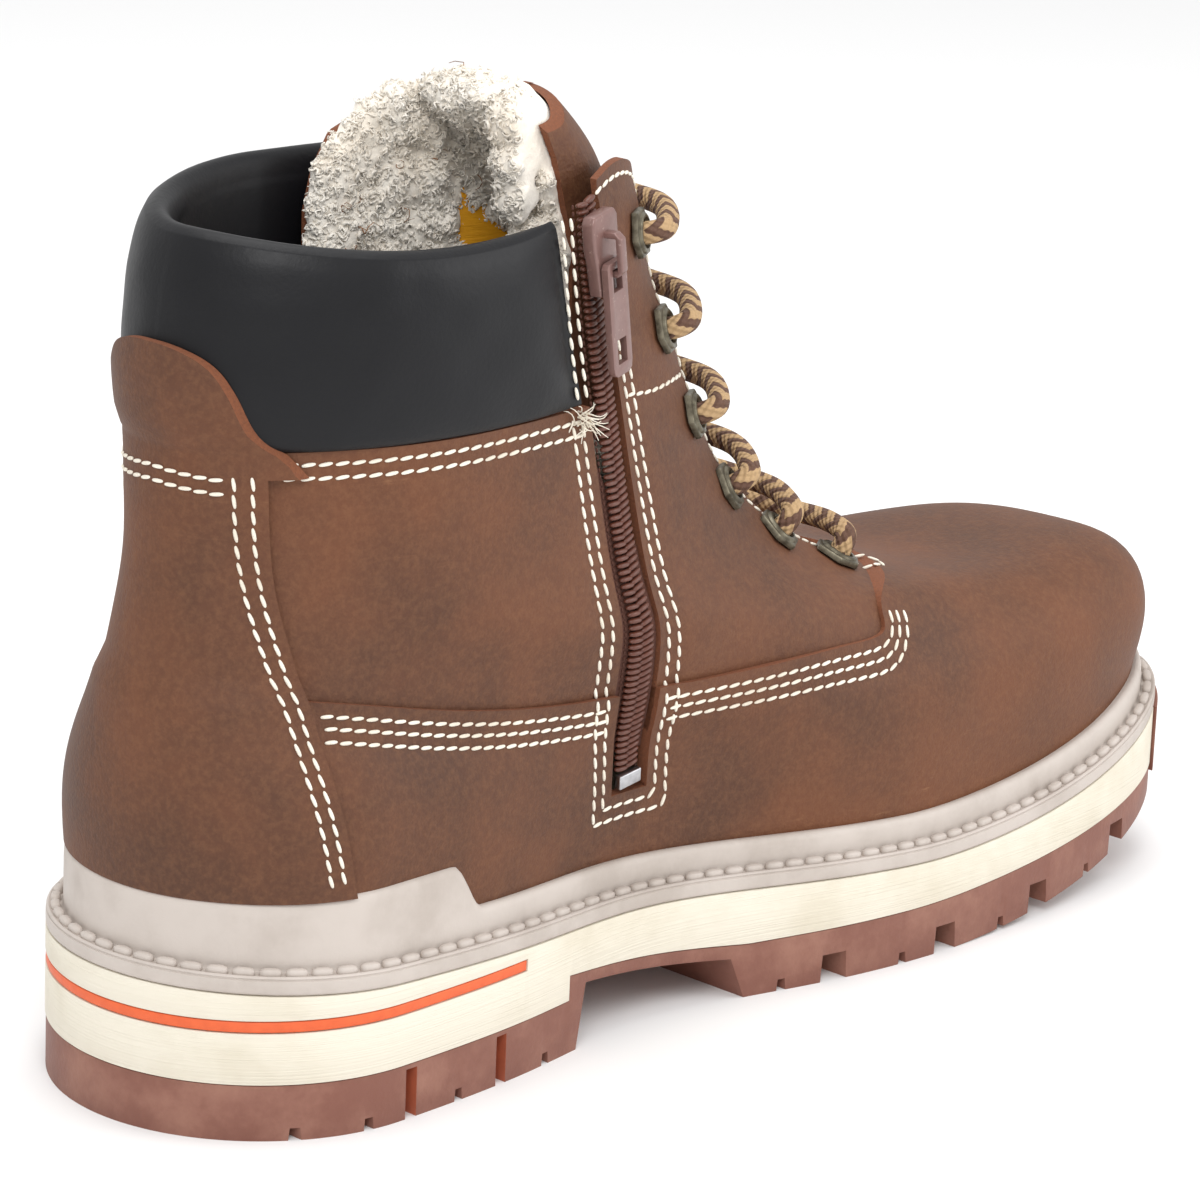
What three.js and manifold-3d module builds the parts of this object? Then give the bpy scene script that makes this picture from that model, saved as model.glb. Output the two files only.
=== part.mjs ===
// A winter boot for the left foot: leather upper with a side zip, padded collar,
// pile-lined tongue, six rows of lacing and a layered rubber sole.
// Millimetres. X runs from heel to toe, Y to the outer side of the foot, Z up.
import * as THREE from 'three';
import Module from 'manifold-3d';
import { mergeVertices } from 'three/addons/utils/BufferGeometryUtils.js';

const wasm = await Module();
wasm.setup();

// Sizes of the sole
const soleLength = 303.5;
const heelRadius = 43.2;
const ballInner = 51.8;
const ballOuter = 57.5;
const toeTipY = -13.5;
const toeSquareness = 2.85;
const toeSpring = 20;
const heelRubber = 11.8;
const foreRubber = 12.2;
const waistRise = 4.8;
const waistRubber = 2.9;
const rimHeelZ = 31.2;
const rimFall = 13.8;
const rimToeRise = 23.6;
const rimHeight = 3.8;
const beadHeight = 1.5;
const beadWidth = 2;
const randSetback = 3.3;
const randRise = 10;
const randHeelZ = 48.5;
const breastX = soleLength * 0.3196;
const foreLugX = soleLength * 0.4843;
const lugPitch = soleLength * 0.1087;
const lugGap = 7.4;
const lugDepth = 6.2;
const notchWidth = 3;
const notchDepth = 2.6;
const slotWidth = 3;
const slotDepth = 9;
const channelWidth = 9;
const stripeZ = 23.8;
const stripeHeight = 2.2;
const stripeDepth = 1.2;
const stripeEndX = soleLength * 0.2603;
const bumperX = soleLength - 12.5;
const bumperThick = 2.4;
const bumperProud = 0.8;

// Sizes of the upper
const shaftHeight = 180;
const shaftWidth = 78;
const featherInset = 7.4;
const wall = 2;
const vampLayer = 1;
const clearance = 0.3;
const panelThick = 1.5;
const collarSeamZ = shaftHeight * 0.7611;
const collarHeight = shaftHeight * 0.2333;
const collarTilt = 4.5;
const collarPad = 3.2;
const collarLining = 7;
const throatBaseX = soleLength * 0.7216;
const throatBaseZ = shaftHeight * 0.4833;
const throatTopX = soleLength * 0.4382;
const throatTopZ = shaftHeight * 0.9444;
const throatCentreY = -4.5;
const throatWidth = 28;
const flapTopZ = shaftHeight * 1.0222;
const insoleThick = 4.5;

// Sizes of the tongue, lacing and zip
const tongueLeather = 1.8;
const tongueLean = 5.5;
const pileDepth = 11;
const pileThin = 2.5;
const pileLock = 5.2;
const labelWidth = 15;
const labelHeight = 25;
const labelThick = 0.9;
const labelPlace = 1.25;
const labelTilt = -0.18;
const labelTurn = -0.4;
const eyeletCount = 6;
const eyeletLength = 12.5;
const eyeletWidth = 9.5;
const eyeletThick = 1.2;
const eyeletHole = 6;
const eyeletInset = 8;
const eyeletAcross = eyeletInset * 0.78;
const laceDiameter = 4.8;
const laceLift = 5.4;
const zipTopX = soleLength * 0.318;
const zipTopZ = shaftHeight * 0.9889;
const zipFootX = soleLength * 0.3839;
const zipFootZ = shaftHeight * 0.2833;
const zipWidth = 11;
const tapeSink = 1;
const coilWidth = 6.4;
const coilRise = 0.7;
const stopHeight = 3.2;
const stopThick = 1.6;
const sliderLength = 17;
const sliderWidth = 9.6;
const sliderThick = 3;
const bridgeLength = 9.4;
const bridgeBar = 1.3;
const bridgeRoom = 2.5;
const bridgeWidth = 2.2;
const pullLength = 24;
const pullWidth = 7.4;
const pullThick = 1.5;
const eyeLength = 4.8;
const windowLength = 5.2;
const windowWidth = 3.6;

// Mesh fineness: columns round the foot
const columns = 44;

// Heights along the sole, each at a distance x from the back of the heel
const past = (x, from) => Math.max(0, (x / soleLength - from) / (1 - from)) ** 2;
const rimLow = (x) => rimHeelZ - (rimFall * x) / soleLength + rimToeRise * past(x, 0.62);
const ground = (x) => toeSpring * past(x, 0.66);
const waistLine = (x) => foreRubber + waistRise * Math.max(0, (foreLugX - x) / (foreLugX - breastX));
const foamLow = (x) => (x < breastX - 3 ? heelRubber : waistLine(x) + 13.3 * past(x, 0.62));

// Half widths of the sole between heel and ball, as shares of its length and of the ball's half width
const soleStations = [
  { at: 0.27, inner: 0.799, outer: 0.735 },
  { at: 0.4, inner: 0.722, outer: 0.765 },
  { at: 0.55, inner: 0.907, outer: 0.93 },
];
const innerBallAt = 0.691;
const outerBallAt = 0.64;

// Natural or clamped cubic spline through rows of numbers
function cubic(knots, values, startSlope, endSlope) {
  const n = knots.length;
  const a = new Array(n).fill(0);
  const b = new Array(n).fill(1);
  const c = new Array(n).fill(0);
  const d = new Array(n).fill(0);
  const step = (i) => knots[i + 1] - knots[i];
  const rise = (i) => (values[i + 1] - values[i]) / step(i);
  if (startSlope !== undefined) {
    b[0] = 2 * step(0);
    c[0] = step(0);
    d[0] = 6 * (rise(0) - startSlope);
  }
  if (endSlope !== undefined) {
    a[n - 1] = step(n - 2);
    b[n - 1] = 2 * step(n - 2);
    d[n - 1] = 6 * (endSlope - rise(n - 2));
  }
  for (let i = 1; i < n - 1; i += 1) {
    a[i] = step(i - 1);
    b[i] = 2 * (step(i - 1) + step(i));
    c[i] = step(i);
    d[i] = 6 * (rise(i) - rise(i - 1));
  }
  for (let i = 1; i < n; i += 1) {
    const m = a[i] / b[i - 1];
    b[i] -= m * c[i - 1];
    d[i] -= m * d[i - 1];
  }
  const bend = new Array(n).fill(0);
  bend[n - 1] = d[n - 1] / b[n - 1];
  for (let i = n - 2; i >= 0; i -= 1) bend[i] = (d[i] - c[i] * bend[i + 1]) / b[i];
  return (x) => {
    let i = 0;
    while (i < n - 2 && x > knots[i + 1]) i += 1;
    const h = step(i);
    const p = (knots[i + 1] - x) / h;
    const q = (x - knots[i]) / h;
    const curve = ((p ** 3 - p) * bend[i] + (q ** 3 - q) * bend[i + 1]) * (h * h) / 6;
    return p * values[i] + q * values[i + 1] + curve;
  };
}

// Half outline of the sole on one side: a heel arc, a spline through the waist, a squared toe curve
function halfOutline(side) {
  const ball = side < 0 ? ballInner : ballOuter;
  const ballX = (side < 0 ? innerBallAt : outerBallAt) * soleLength;
  const key = side < 0 ? 'inner' : 'outer';
  const knots = [heelRadius, ...soleStations.map((row) => row.at * soleLength), ballX];
  const widths = [heelRadius, ...soleStations.map((row) => row[key] * ball), ball];
  const waist = cubic(knots, widths, 0, 0);
  const reach = ball - side * toeTipY;
  return (x) => {
    if (x < heelRadius) return side * Math.sqrt(Math.max(0, heelRadius ** 2 - (heelRadius - x) ** 2));
    if (x < ballX) return side * waist(x);
    const u = Math.min(1, (x - ballX) / (soleLength - ballX));
    return toeTipY + side * reach * (1 - u ** toeSquareness) ** (1 / toeSquareness);
  };
}
const innerEdge = halfOutline(-1);
const outerEdge = halfOutline(1);

// A place round the foot is s: 0 at the heel, 1 at the toe tip, by the inner side, and 2 at the heel again
const wrap = (s) => ((s % 2) + 2) % 2;
const sideOf = (s) => (wrap(s) <= 1 ? -1 : 1);
const shareOf = (s) => (wrap(s) <= 1 ? wrap(s) : 2 - wrap(s));
function outlinePoint(s) {
  const x = (soleLength / 2) * (1 - Math.cos(Math.PI * shareOf(s)));
  return new THREE.Vector2(x, sideOf(s) < 0 ? innerEdge(x) : outerEdge(x));
}
function insetPoint(s, inset) {
  const along = outlinePoint(s + 0.004).sub(outlinePoint(s - 0.004)).normalize();
  return outlinePoint(s).add(new THREE.Vector2(-along.y, along.x).multiplyScalar(inset));
}

// Rings of the upper from the wall above the sole to the tongue's tip. back, front and widest are shares
// of the sole's length, heights are shares of the shaft's height, inner and outer are shares of its width.
// oval blends from the sole's own outline, 0, to a plain oval, 1. full scales the outline's width, lean
// shifts the ring to one side and swing its front end.
const rings = [
  { name: 'wall', back: 0.0205, backZ: 0.333, sideZ: 0.262, front: 0.983, frontZ: 0.335, oval: 0,
    full: 1.03, widest: 0.5, inner: 0.6, outer: 0.62, nose: 2.3, lean: 0, swing: -0.16 },
  { name: 'shoulder', back: 0.0215, backZ: 0.411, sideZ: 0.33, front: 0.968, frontZ: 0.4, oval: 0.15,
    full: 0.99, widest: 0.5, inner: 0.59, outer: 0.6, nose: 2.3, lean: -0.012, swing: -0.14 },
  { name: 'toe', back: 0.0245, backZ: 0.489, sideZ: 0.375, front: 0.897, frontZ: 0.436, oval: 0.45,
    full: 0.88, widest: 0.44, inner: 0.54, outer: 0.49, nose: 2.15, lean: -0.025, swing: -0.09 },
  { name: 'vamp', back: 0.03, backZ: 0.567, sideZ: 0.475, front: 0.745, frontZ: 0.432, oval: 0.8,
    full: 0.87, widest: 0.36, inner: 0.49, outer: 0.475, nose: 2.05, lean: -0.04, swing: -0.02 },
  { name: 'throat', back: 0.0335, backZ: 0.65, sideZ: 0.55, front: 0.6, frontZ: 0.535, oval: 1, full: 1,
    widest: 0.28, inner: 0.455, outer: 0.44, nose: 2.3, lean: -0.053, swing: 0.02 },
  { name: 'instep', back: 0.034, backZ: 0.717, sideZ: 0.66, front: 0.527, frontZ: 0.645, oval: 1,
    full: 1, widest: 0.235, inner: 0.435, outer: 0.435, nose: 2.6, lean: -0.06, swing: 0.03 },
  { name: 'seam', back: 0.034, backZ: 0.761, sideZ: 0.761, front: 0.48, frontZ: 0.795, oval: 1, full: 1,
    widest: 0.212, inner: 0.425, outer: 0.43, nose: 2.7, lean: -0.064, swing: 0.03 },
  { name: 'ankle', back: 0.036, backZ: 0.835, sideZ: 0.835, front: 0.455, frontZ: 0.88, oval: 1, full: 1,
    widest: 0.205, inner: 0.42, outer: 0.415, nose: 2.7, lean: -0.064, swing: 0.03 },
  { name: 'collar', back: 0.041, backZ: 0.92, sideZ: 0.92, front: 0.437, frontZ: 0.967, oval: 1, full: 1,
    widest: 0.2, inner: 0.42, outer: 0.415, nose: 2.7, lean: -0.064, swing: 0.03 },
  { name: 'top', back: 0.045, backZ: 1.03, sideZ: 1.03, front: 0.412, frontZ: 1.062, oval: 1, full: 1,
    widest: 0.198, inner: 0.42, outer: 0.415, nose: 2.6, lean: -0.064, swing: 0.03 },
  { name: 'tip', back: 0.06, backZ: 1.17, sideZ: 1.17, front: 0.335, frontZ: 1.18, oval: 1, full: 1,
    widest: 0.19, inner: 0.4, outer: 0.4, nose: 2.4, lean: -0.06, swing: 0.03 },
];
const ringNames = ['base', 'feather', 'rand', ...rings.map((ring) => ring.name)];
const level = (name) => ringNames.indexOf(name);

// One point of a ring at a place round the foot
function ringPoint(ring, s) {
  const angle = Math.PI * shareOf(s);
  const side = sideOf(s);
  const c = Math.cos(angle);
  const back = ring.back * soleLength;
  const front = ring.front * soleLength;
  const widest = ring.widest * soleLength;
  const foot = insetPoint(s, featherInset - 0.8);
  const share = (foot.x - featherInset + 0.8) / (soleLength - 2 * (featherInset - 0.8));
  const footX = back + (front - back) * share;
  const footY = foot.y * ring.full;
  const reach = c > 0 ? widest - back : front - widest;
  const half = (side < 0 ? ring.inner : ring.outer) * shaftWidth;
  const power = 2 / (c > 0 ? 2 : ring.nose);
  const ovalX = widest - reach * c;
  const ovalY = side * half * Math.sin(angle) ** power + ring.swing * shaftWidth * Math.max(0, -c) ** 2;
  const lean = ring.lean * shaftWidth;
  const nearBack = Math.max(0, c) ** 2;
  const nearFront = Math.max(0, -c) ** 2;
  const rise = ring.sideZ + (ring.backZ - ring.sideZ) * nearBack + (ring.frontZ - ring.sideZ) * nearFront;
  const x = footX + (ovalX - footX) * ring.oval;
  const y = footY + (ovalY - footY) * ring.oval;
  return new THREE.Vector3(x, y + lean, rise * shaftHeight);
}

// A rib runs up through all rings at one place round the foot
const ribs = new Map();
function rib(s) {
  const key = wrap(s).toFixed(5);
  if (!ribs.has(key)) {
    const foot = insetPoint(s, featherInset);
    const seat = insetPoint(s, featherInset - 0.4);
    const points = [
      new THREE.Vector3(foot.x, foot.y, rimLow(foot.x) - 6),
      new THREE.Vector3(foot.x, foot.y, rimLow(foot.x) + clearance),
      new THREE.Vector3(seat.x, seat.y, rimLow(seat.x) + randRise),
      ...rings.map((ring) => ringPoint(ring, s)),
    ];
    const knots = [0];
    points.slice(1).forEach((point, i) => knots.push(knots[i] + Math.sqrt(point.distanceTo(points[i]))));
    const curves = ['x', 'y', 'z'].map((axis) => cubic(knots, points.map((point) => point[axis])));
    ribs.set(key, { knots, curves });
  }
  return ribs.get(key);
}

// The outer face of the upper at a place s round the foot and a level v counted in rings
function face(s, v) {
  const { knots, curves } = rib(s);
  const i = Math.min(Math.floor(v), knots.length - 2);
  const k = knots[i] + (knots[i + 1] - knots[i]) * (v - i);
  return new THREE.Vector3(curves[0](k), curves[1](k), curves[2](k));
}
function faceNormal(s, v) {
  const last = ringNames.length - 1;
  const up = face(s, Math.min(last, v + 0.05)).sub(face(s, Math.max(0, v - 0.05)));
  const round = face(s + 0.01, v).sub(face(s - 0.01, v));
  return round.cross(up).normalize();
}
function faceAt(s, v, out) {
  const point = face(s, v);
  const push = typeof out === 'function' ? out(point, s, v) : out;
  return point.addScaledVector(faceNormal(s, v), push);
}

// Closed solids from grids of points, and joins and cuts between solids
function geometryOf(points, triangles) {
  const geometry = new THREE.BufferGeometry();
  const numbers = points.flatMap((p) => [p.x, p.y, p.z]);
  geometry.setAttribute('position', new THREE.Float32BufferAttribute(numbers, 3));
  geometry.setIndex(triangles);
  return geometry;
}
function solid(geometry) {
  const plain = geometry.clone();
  plain.deleteAttribute('normal');
  plain.deleteAttribute('uv');
  const merged = mergeVertices(plain, 1e-4);
  return new wasm.Manifold(new wasm.Mesh({
    numProp: 3,
    vertProperties: new Float32Array(merged.attributes.position.array),
    triVerts: new Uint32Array(merged.index.array),
  }));
}
function geometryFrom(body) {
  const mesh = body.getMesh();
  const geometry = new THREE.BufferGeometry();
  geometry.setAttribute('position', new THREE.BufferAttribute(new Float32Array(mesh.vertProperties), 3));
  geometry.setIndex(new THREE.BufferAttribute(new Uint32Array(mesh.triVerts), 1));
  return geometry;
}

// Joins rows of points into a closed skin. loop: each row closes on itself. ring: the last row meets the first.
function skin(rows, loop, ring) {
  const points = rows.flat();
  const width = rows[0].length;
  const triangles = [];
  const rowCount = ring ? rows.length : rows.length - 1;
  const spanCount = loop ? width : width - 1;
  for (let r = 0; r < rowCount; r += 1) {
    for (let i = 0; i < spanCount; i += 1) {
      const a = r * width + i;
      const b = r * width + ((i + 1) % width);
      const c = ((r + 1) % rows.length) * width + ((i + 1) % width);
      const d = ((r + 1) % rows.length) * width + i;
      triangles.push(a, b, c, a, c, d);
    }
  }
  const fan = (indices) => {
    const middle = new THREE.Vector3();
    indices.forEach((i) => middle.add(points[i]));
    points.push(middle.divideScalar(indices.length));
    indices.forEach((from, i) => triangles.push(points.length - 1, indices[(i + 1) % indices.length], from));
  };
  if (loop && !ring) {
    fan([...Array(width).keys()]);
    fan([...Array(width).keys()].map((i) => rows.length * width - 1 - i));
  }
  if (!loop && ring) {
    fan(rows.map((_, r) => (rows.length - 1 - r) * width));
    fan(rows.map((_, r) => r * width + width - 1));
  }
  return geometryOf(points, triangles);
}
const places = [...Array(columns).keys()].map((i) => (2 * i) / columns);
const steps = (from, to, count) => [...Array(count + 1).keys()].map((i) => from + ((to - from) * i) / count);

// Levels at which the upper's faces are sampled
const upperLevels = [
  level('feather'), level('rand'), level('wall'), level('shoulder'),
  ...steps(level('shoulder'), level('toe'), 2).slice(1),
  ...steps(level('toe'), level('vamp'), 2).slice(1),
  ...steps(level('vamp'), level('throat'), 3).slice(1),
  ...steps(level('throat'), level('instep'), 2).slice(1),
  level('seam'), level('ankle'), level('collar'), level('top'),
];
const faceRow = (v, out) => places.map((s) => faceAt(s, v, out));

// A wall between two offsets of the upper's face, open at both ends
function shell(outer, inner, levels = upperLevels) {
  const outside = levels.map((v) => faceRow(v, outer));
  const inside = levels.map((v) => faceRow(v, inner)).reverse();
  return solid(skin([...outside, ...inside], true, true));
}
// The whole form within one offset of the upper's face, reaching below the feather line
function form(out) {
  return solid(skin([level('base'), ...upperLevels].map((v) => faceRow(v, out)), true, false));
}
// A prism across the boot with its outline given in x and z
function sidePrism(outline, fromY, toY) {
  const shape = new THREE.Shape(outline.map(([x, z]) => new THREE.Vector2(x, z)));
  const across = { depth: toY - fromY, bevelEnabled: false, curveSegments: 8 };
  const geometry = new THREE.ExtrudeGeometry(shape, across);
  return solid(geometry.rotateX(Math.PI / 2).translate(0, toY, 0));
}
const reachY = shaftWidth * 1.2;
const throatDepth = shaftWidth * 1.15;
const behindHeel = -20;
const beforeToe = soleLength + 30;
const overTop = shaftHeight * 1.3;
// An outline in x and z from shares of the sole's length and of the shaft's height
const inShares = (points) => points.map(([x, z]) => [x * soleLength, z * shaftHeight]);

// Rounded corner between two edges of an outline, as points along a quadratic curve
function rounded(from, corner, to, count = 4) {
  return steps(0, 1, count).map((t) => [
    from[0] * (1 - t) ** 2 + 2 * corner[0] * t * (1 - t) + to[0] * t * t,
    from[1] * (1 - t) ** 2 + 2 * corner[1] * t * (1 - t) + to[1] * t * t,
  ]);
}

// Zip line on the inner side: x at a height
const zipLean = (zipFootX - zipTopX) / (zipTopZ - zipFootZ);
const zipX = (z) => zipFootX - zipLean * (z - zipFootZ);
function zipStrip(width, fromZ, toZ) {
  return sidePrism([
    [zipX(fromZ) - width / 2, fromZ], [zipX(fromZ) + width / 2, fromZ],
    [zipX(toZ) + width / 2, toZ], [zipX(toZ) - width / 2, toZ],
  ], -reachY, -8);
}

// Throat: a tapering slot down the instep, seen square to the line of the laces
const laceLine = new THREE.Vector3(throatTopX - throatBaseX, 0, throatTopZ - throatBaseZ).normalize();
const laceOut = new THREE.Vector3(laceLine.z, 0, -laceLine.x);
const throatLength = Math.hypot(throatTopX - throatBaseX, throatTopZ - throatBaseZ);
const eyeletTop = throatLength * 1.0626;
const eyeletPitch = throatLength * 0.18323;
const throatBase = new THREE.Vector3(throatBaseX, throatCentreY, throatBaseZ);
const throatHalf = (along) => (throatWidth / 2) * (0.72 + 0.28 * Math.min(1.3, along / throatLength));
function throatPrism() {
  const top = throatLength + 40;
  const shape = new THREE.Shape([
    new THREE.Vector2(-throatHalf(top), top),
    new THREE.Vector2(-throatHalf(throatLength), throatLength),
    new THREE.Vector2(-throatHalf(0), 9),
    new THREE.Vector2(-throatHalf(0) * 0.72, 2.6),
    new THREE.Vector2(0, 0),
    new THREE.Vector2(throatHalf(0) * 0.72, 2.6),
    new THREE.Vector2(throatHalf(0), 9),
    new THREE.Vector2(throatHalf(throatLength), throatLength),
    new THREE.Vector2(throatHalf(top), top),
  ]);
  const geometry = new THREE.ExtrudeGeometry(shape, { depth: throatDepth, bevelEnabled: false });
  const across = new THREE.Vector3(0, 1, 0);
  const frame = new THREE.Matrix4().makeBasis(across, laceLine, laceOut);
  frame.setPosition(throatBase.clone().addScaledVector(laceOut, -throatDepth * 0.45));
  return solid(geometry.applyMatrix4(frame));
}

// Finds the place and level on the upper's face that lies on a line through a point, square to the laces
function findOnFace(point, side, along = laceOut) {
  let best = { s: 0.7, v: level('throat') + 1 };
  let span = { s: 0.3, v: 3 };
  const offLine = (s, v) => {
    const gap = face(s, v).sub(point);
    return gap.addScaledVector(along, -gap.dot(along)).length();
  };
  for (let pass = 0; pass < 9; pass += 1) {
    let nearest = Infinity;
    const centre = best;
    for (const ds of steps(-span.s, span.s, 10)) {
      for (const dv of steps(-span.v, span.v, 10)) {
        const v = Math.min(ringNames.length - 1, Math.max(1, centre.v + dv));
        const s = Math.min(1, Math.max(0.02, centre.s + ds));
        const gap = offLine(side < 0 ? s : 2 - s, v);
        if (gap < nearest) {
          nearest = gap;
          best = { s, v };
        }
      }
    }
    span = { s: span.s * 0.35, v: span.v * 0.35 };
  }
  return { s: side < 0 ? best.s : 2 - best.s, v: best.v };
}
const eyelets = [];
for (const side of [-1, 1]) {
  for (let i = 0; i < eyeletCount; i += 1) {
    const along = eyeletTop - eyeletPitch * i;
    const across = side * (throatHalf(along) + eyeletAcross);
    const point = throatBase.clone().addScaledVector(laceLine, along).add(new THREE.Vector3(0, across, 0));
    const spot = findOnFace(point, side);
    const centre = face(spot.s, spot.v);
    const out = faceNormal(spot.s, spot.v);
    const up = laceLine.clone().addScaledVector(out, -laceLine.dot(out)).normalize();
    eyelets.push({ side, row: i, s: spot.s, v: spot.v, centre, out, up });
  }
}
const eyeletFrame = (spot) =>
  new THREE.Matrix4().makeBasis(spot.up.clone().cross(spot.out), spot.up, spot.out);

const boot = new THREE.Group();
function finish(color, roughness, metalness = 0) {
  return new THREE.MeshStandardMaterial({ color, roughness, metalness });
}
const leatherFinish = finish(0x73492f, 0.75);
const tapeFinish = finish(0x5a3526, 0.8);
const taupeFinish = finish(0xcdc3be, 0.6);
const foamFinish = finish(0xf8f2e1, 0.7);
const stripeFinish = finish(0xeb6e3c, 0.6);
const rubberFinish = finish(0x966455, 0.7);
const collarFinish = finish(0x2b2c31, 0.45);
const pileFinish = finish(0xe6dccb, 1);
const insoleFinish = finish(0xd8cbb6, 1);
const brassFinish = finish(0x7a7460, 0.4, 0.9);
const laceFinish = finish(0xa8845e, 0.9);
const pullFinish = finish(0x83635c, 0.35, 0.4);
const stopFinish = finish(0xb9b9bb, 0.3, 1);
const labelFinish = finish(0xf0aa14, 0.9);
function add(name, body, material) {
  const geometry = body.isBufferGeometry ? body : geometryFrom(body);
  const mesh = new THREE.Mesh(geometry, material);
  mesh.name = name;
  boot.add(mesh);
  return mesh;
}

// Sole layers: a straight-sided block of the sole's outline, trimmed to a side profile
function block(inset, fromZ, toZ) {
  const row = (z) => places.map((s) => {
    const point = insetPoint(s, inset);
    return new THREE.Vector3(point.x, point.y, z);
  });
  return solid(skin([row(fromZ), row(toZ)], true, false));
}
const stations = places.slice(0, columns / 2 + 1).map((s) => outlinePoint(s).x);
const breastStations = [breastX - 3.01, breastX - 2.99, breastX + 1];
const profileX = [...stations, ...breastStations, foreLugX].sort((p, q) => p - q);
profileX[0] = -5;
profileX[profileX.length - 1] = soleLength + 5;
const clampX = (x) => Math.min(soleLength, Math.max(0, x));
function layer(low, high) {
  const bottom = profileX.map((x) => [x, low(clampX(x))]);
  const top = profileX.map((x) => [x, high(clampX(x))]).reverse();
  return sidePrism([...bottom, ...top], -reachY, reachY);
}

// Toe bumper: the rubber turns up over the front of the foam
const bumperZone = (grow) => sidePrism([
  [bumperX - grow, 0], [soleLength + 9, 0], [soleLength + 9, 60], [bumperX - grow, 60],
], -reachY, reachY);
const bumperRing = block(-bumperProud, 0, 70).subtract(block(bumperThick, -1, 71));
const bumperCut = block(-bumperProud - 2, 0, 70).subtract(block(bumperThick + clearance, -1, 71));

// Midsole: cream foam from the rubber up to the welt, with a groove for the stripe round the heel
const stripeZone = (half, grow) => sidePrism([
  [-9, stripeZ - half], [stripeEndX + grow, stripeZ - half],
  [stripeEndX + grow, stripeZ + half], [-9, stripeZ + half],
], -reachY, reachY);
const stripeHalf = stripeHeight / 2;
const groove = block(-3, 10, 40).subtract(block(stripeDepth + clearance, 9, 41))
  .intersect(stripeZone(stripeHalf + clearance, clearance));
const foam = block(0, 5, 70)
  .intersect(layer(foamLow, (x) => rimLow(x) - clearance))
  .subtract(groove)
  .subtract(bumperCut.intersect(bumperZone(clearance)));
add('midsole', foam, foamFinish);
const stripe = block(0, 10, 40).subtract(block(stripeDepth, 9, 41)).intersect(stripeZone(stripeHalf, 0));
add('midsole_stripe', stripe, stripeFinish);

// Outsole: heel block, thin waist and forefoot with lugs, notches, side slots and a toe bumper
const lugCut = (x, width, depth) => sidePrism([
  [x - width / 2, ground(x) - 4], [x + width / 2, ground(x) - 4],
  [x + width / 2 - 0.6, ground(x) + depth], [x - width / 2 + 0.6, ground(x) + depth],
], -reachY, reachY);
const waistArch = sidePrism([
  [breastX, -1], [breastX + 3, waistLine(breastX) - waistRubber],
  [foreLugX - 4, waistLine(foreLugX) - waistRubber], [foreLugX, -1],
], -reachY, reachY);
const channel = (fromX, toX, y, width, depth) => {
  const groundAt = (x) => ground(clampX(x));
  const xs = steps(fromX, toX, 8);
  const low = xs.map((x) => [x, groundAt(x) - 4]);
  const high = xs.map((x) => [x, groundAt(x) + depth]).reverse();
  return sidePrism([...low, ...high], y - width / 2, y + width / 2);
};
let rubber = block(0.2, -1, 30).intersect(layer(ground, (x) => foamLow(x) - clearance)).subtract(waistArch);
const bumper = bumperRing.intersect(bumperZone(0))
  .intersect(layer((x) => foamLow(x) - 2, (x) => rimLow(x) - clearance));
rubber = rubber.add(bumper);
for (let i = 0; i < 4; i += 1) {
  rubber = rubber.subtract(lugCut(foreLugX + 22.5 + lugPitch * i, lugGap, lugDepth));
  rubber = rubber.subtract(lugCut(foreLugX + 9 + lugPitch * i, notchWidth, notchDepth));
}
for (const share of [0.21, 0.36, 0.61, 0.89]) {
  rubber = rubber.subtract(lugCut(breastX * share, notchWidth, notchDepth));
}
for (const share of [0.47, 0.74]) {
  const x = breastX * share;
  for (const side of [-1, 1]) {
    const edge = side < 0 ? innerEdge(x) : outerEdge(x);
    const inside = edge - side * slotDepth;
    const fromY = Math.min(inside, edge + side * 5);
    const toY = Math.max(inside, edge + side * 5);
    rubber = rubber.subtract(sidePrism([
      [x - slotWidth / 2, -4], [x + slotWidth / 2, -4],
      [x + slotWidth / 2, heelRubber - 1.2], [x - slotWidth / 2, heelRubber - 1.2],
    ], fromY, toY));
  }
}
rubber = rubber.subtract(channel(foreLugX - 5, soleLength - 30, 2, channelWidth, lugDepth));
rubber = rubber.subtract(channel(20, breastX + 5, 0, channelWidth, lugDepth));
add('outsole', rubber, rubberFinish);

// Welt: a rim with a beaded ridge round its edge, and a rand that rises against the upper, high at the heel
const randTop = (x) => {
  const low = rimLow(x) + randRise;
  const drop = THREE.MathUtils.clamp((x - 60) / 9, 0, 1);
  return Math.max(low, randHeelZ + (low - randHeelZ) * drop);
};
const weltRow = (inset, heightAt) => places.map((s) => {
  const point = insetPoint(s, inset);
  return new THREE.Vector3(point.x, point.y, heightAt(clampX(point.x)));
});
const rimUp = (up) => (x) => rimLow(x) + up;
const weltSkin = skin([
  weltRow(0, rimUp(0)),
  weltRow(0, rimUp(rimHeight)),
  weltRow(0.7, rimUp(rimHeight)),
  weltRow(0.9, rimUp(rimHeight + beadHeight)),
  weltRow(0.7 + beadWidth, rimUp(rimHeight + beadHeight)),
  weltRow(0.7 + beadWidth, rimUp(rimHeight)),
  weltRow(randSetback, rimUp(rimHeight)),
  weltRow(randSetback + 0.4, (x) => randTop(x) - 1.2),
  weltRow(randSetback + 1.3, randTop),
], true, false);
const welt = solid(weltSkin).subtract(form(vampLayer + clearance));
add('welt', welt, taupeFinish);

// Insole: a shaped board and sock lying inside the upper on the foam
const insoleInset = featherInset + wall + clearance + 0.3;
const insoleSkin = skin([
  weltRow(insoleInset, rimUp(0)),
  weltRow(insoleInset, rimUp(insoleThick - 0.8)),
  weltRow(insoleInset + 1.2, rimUp(insoleThick)),
], true, false);
add('insole', insoleSkin, insoleFinish);

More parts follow.
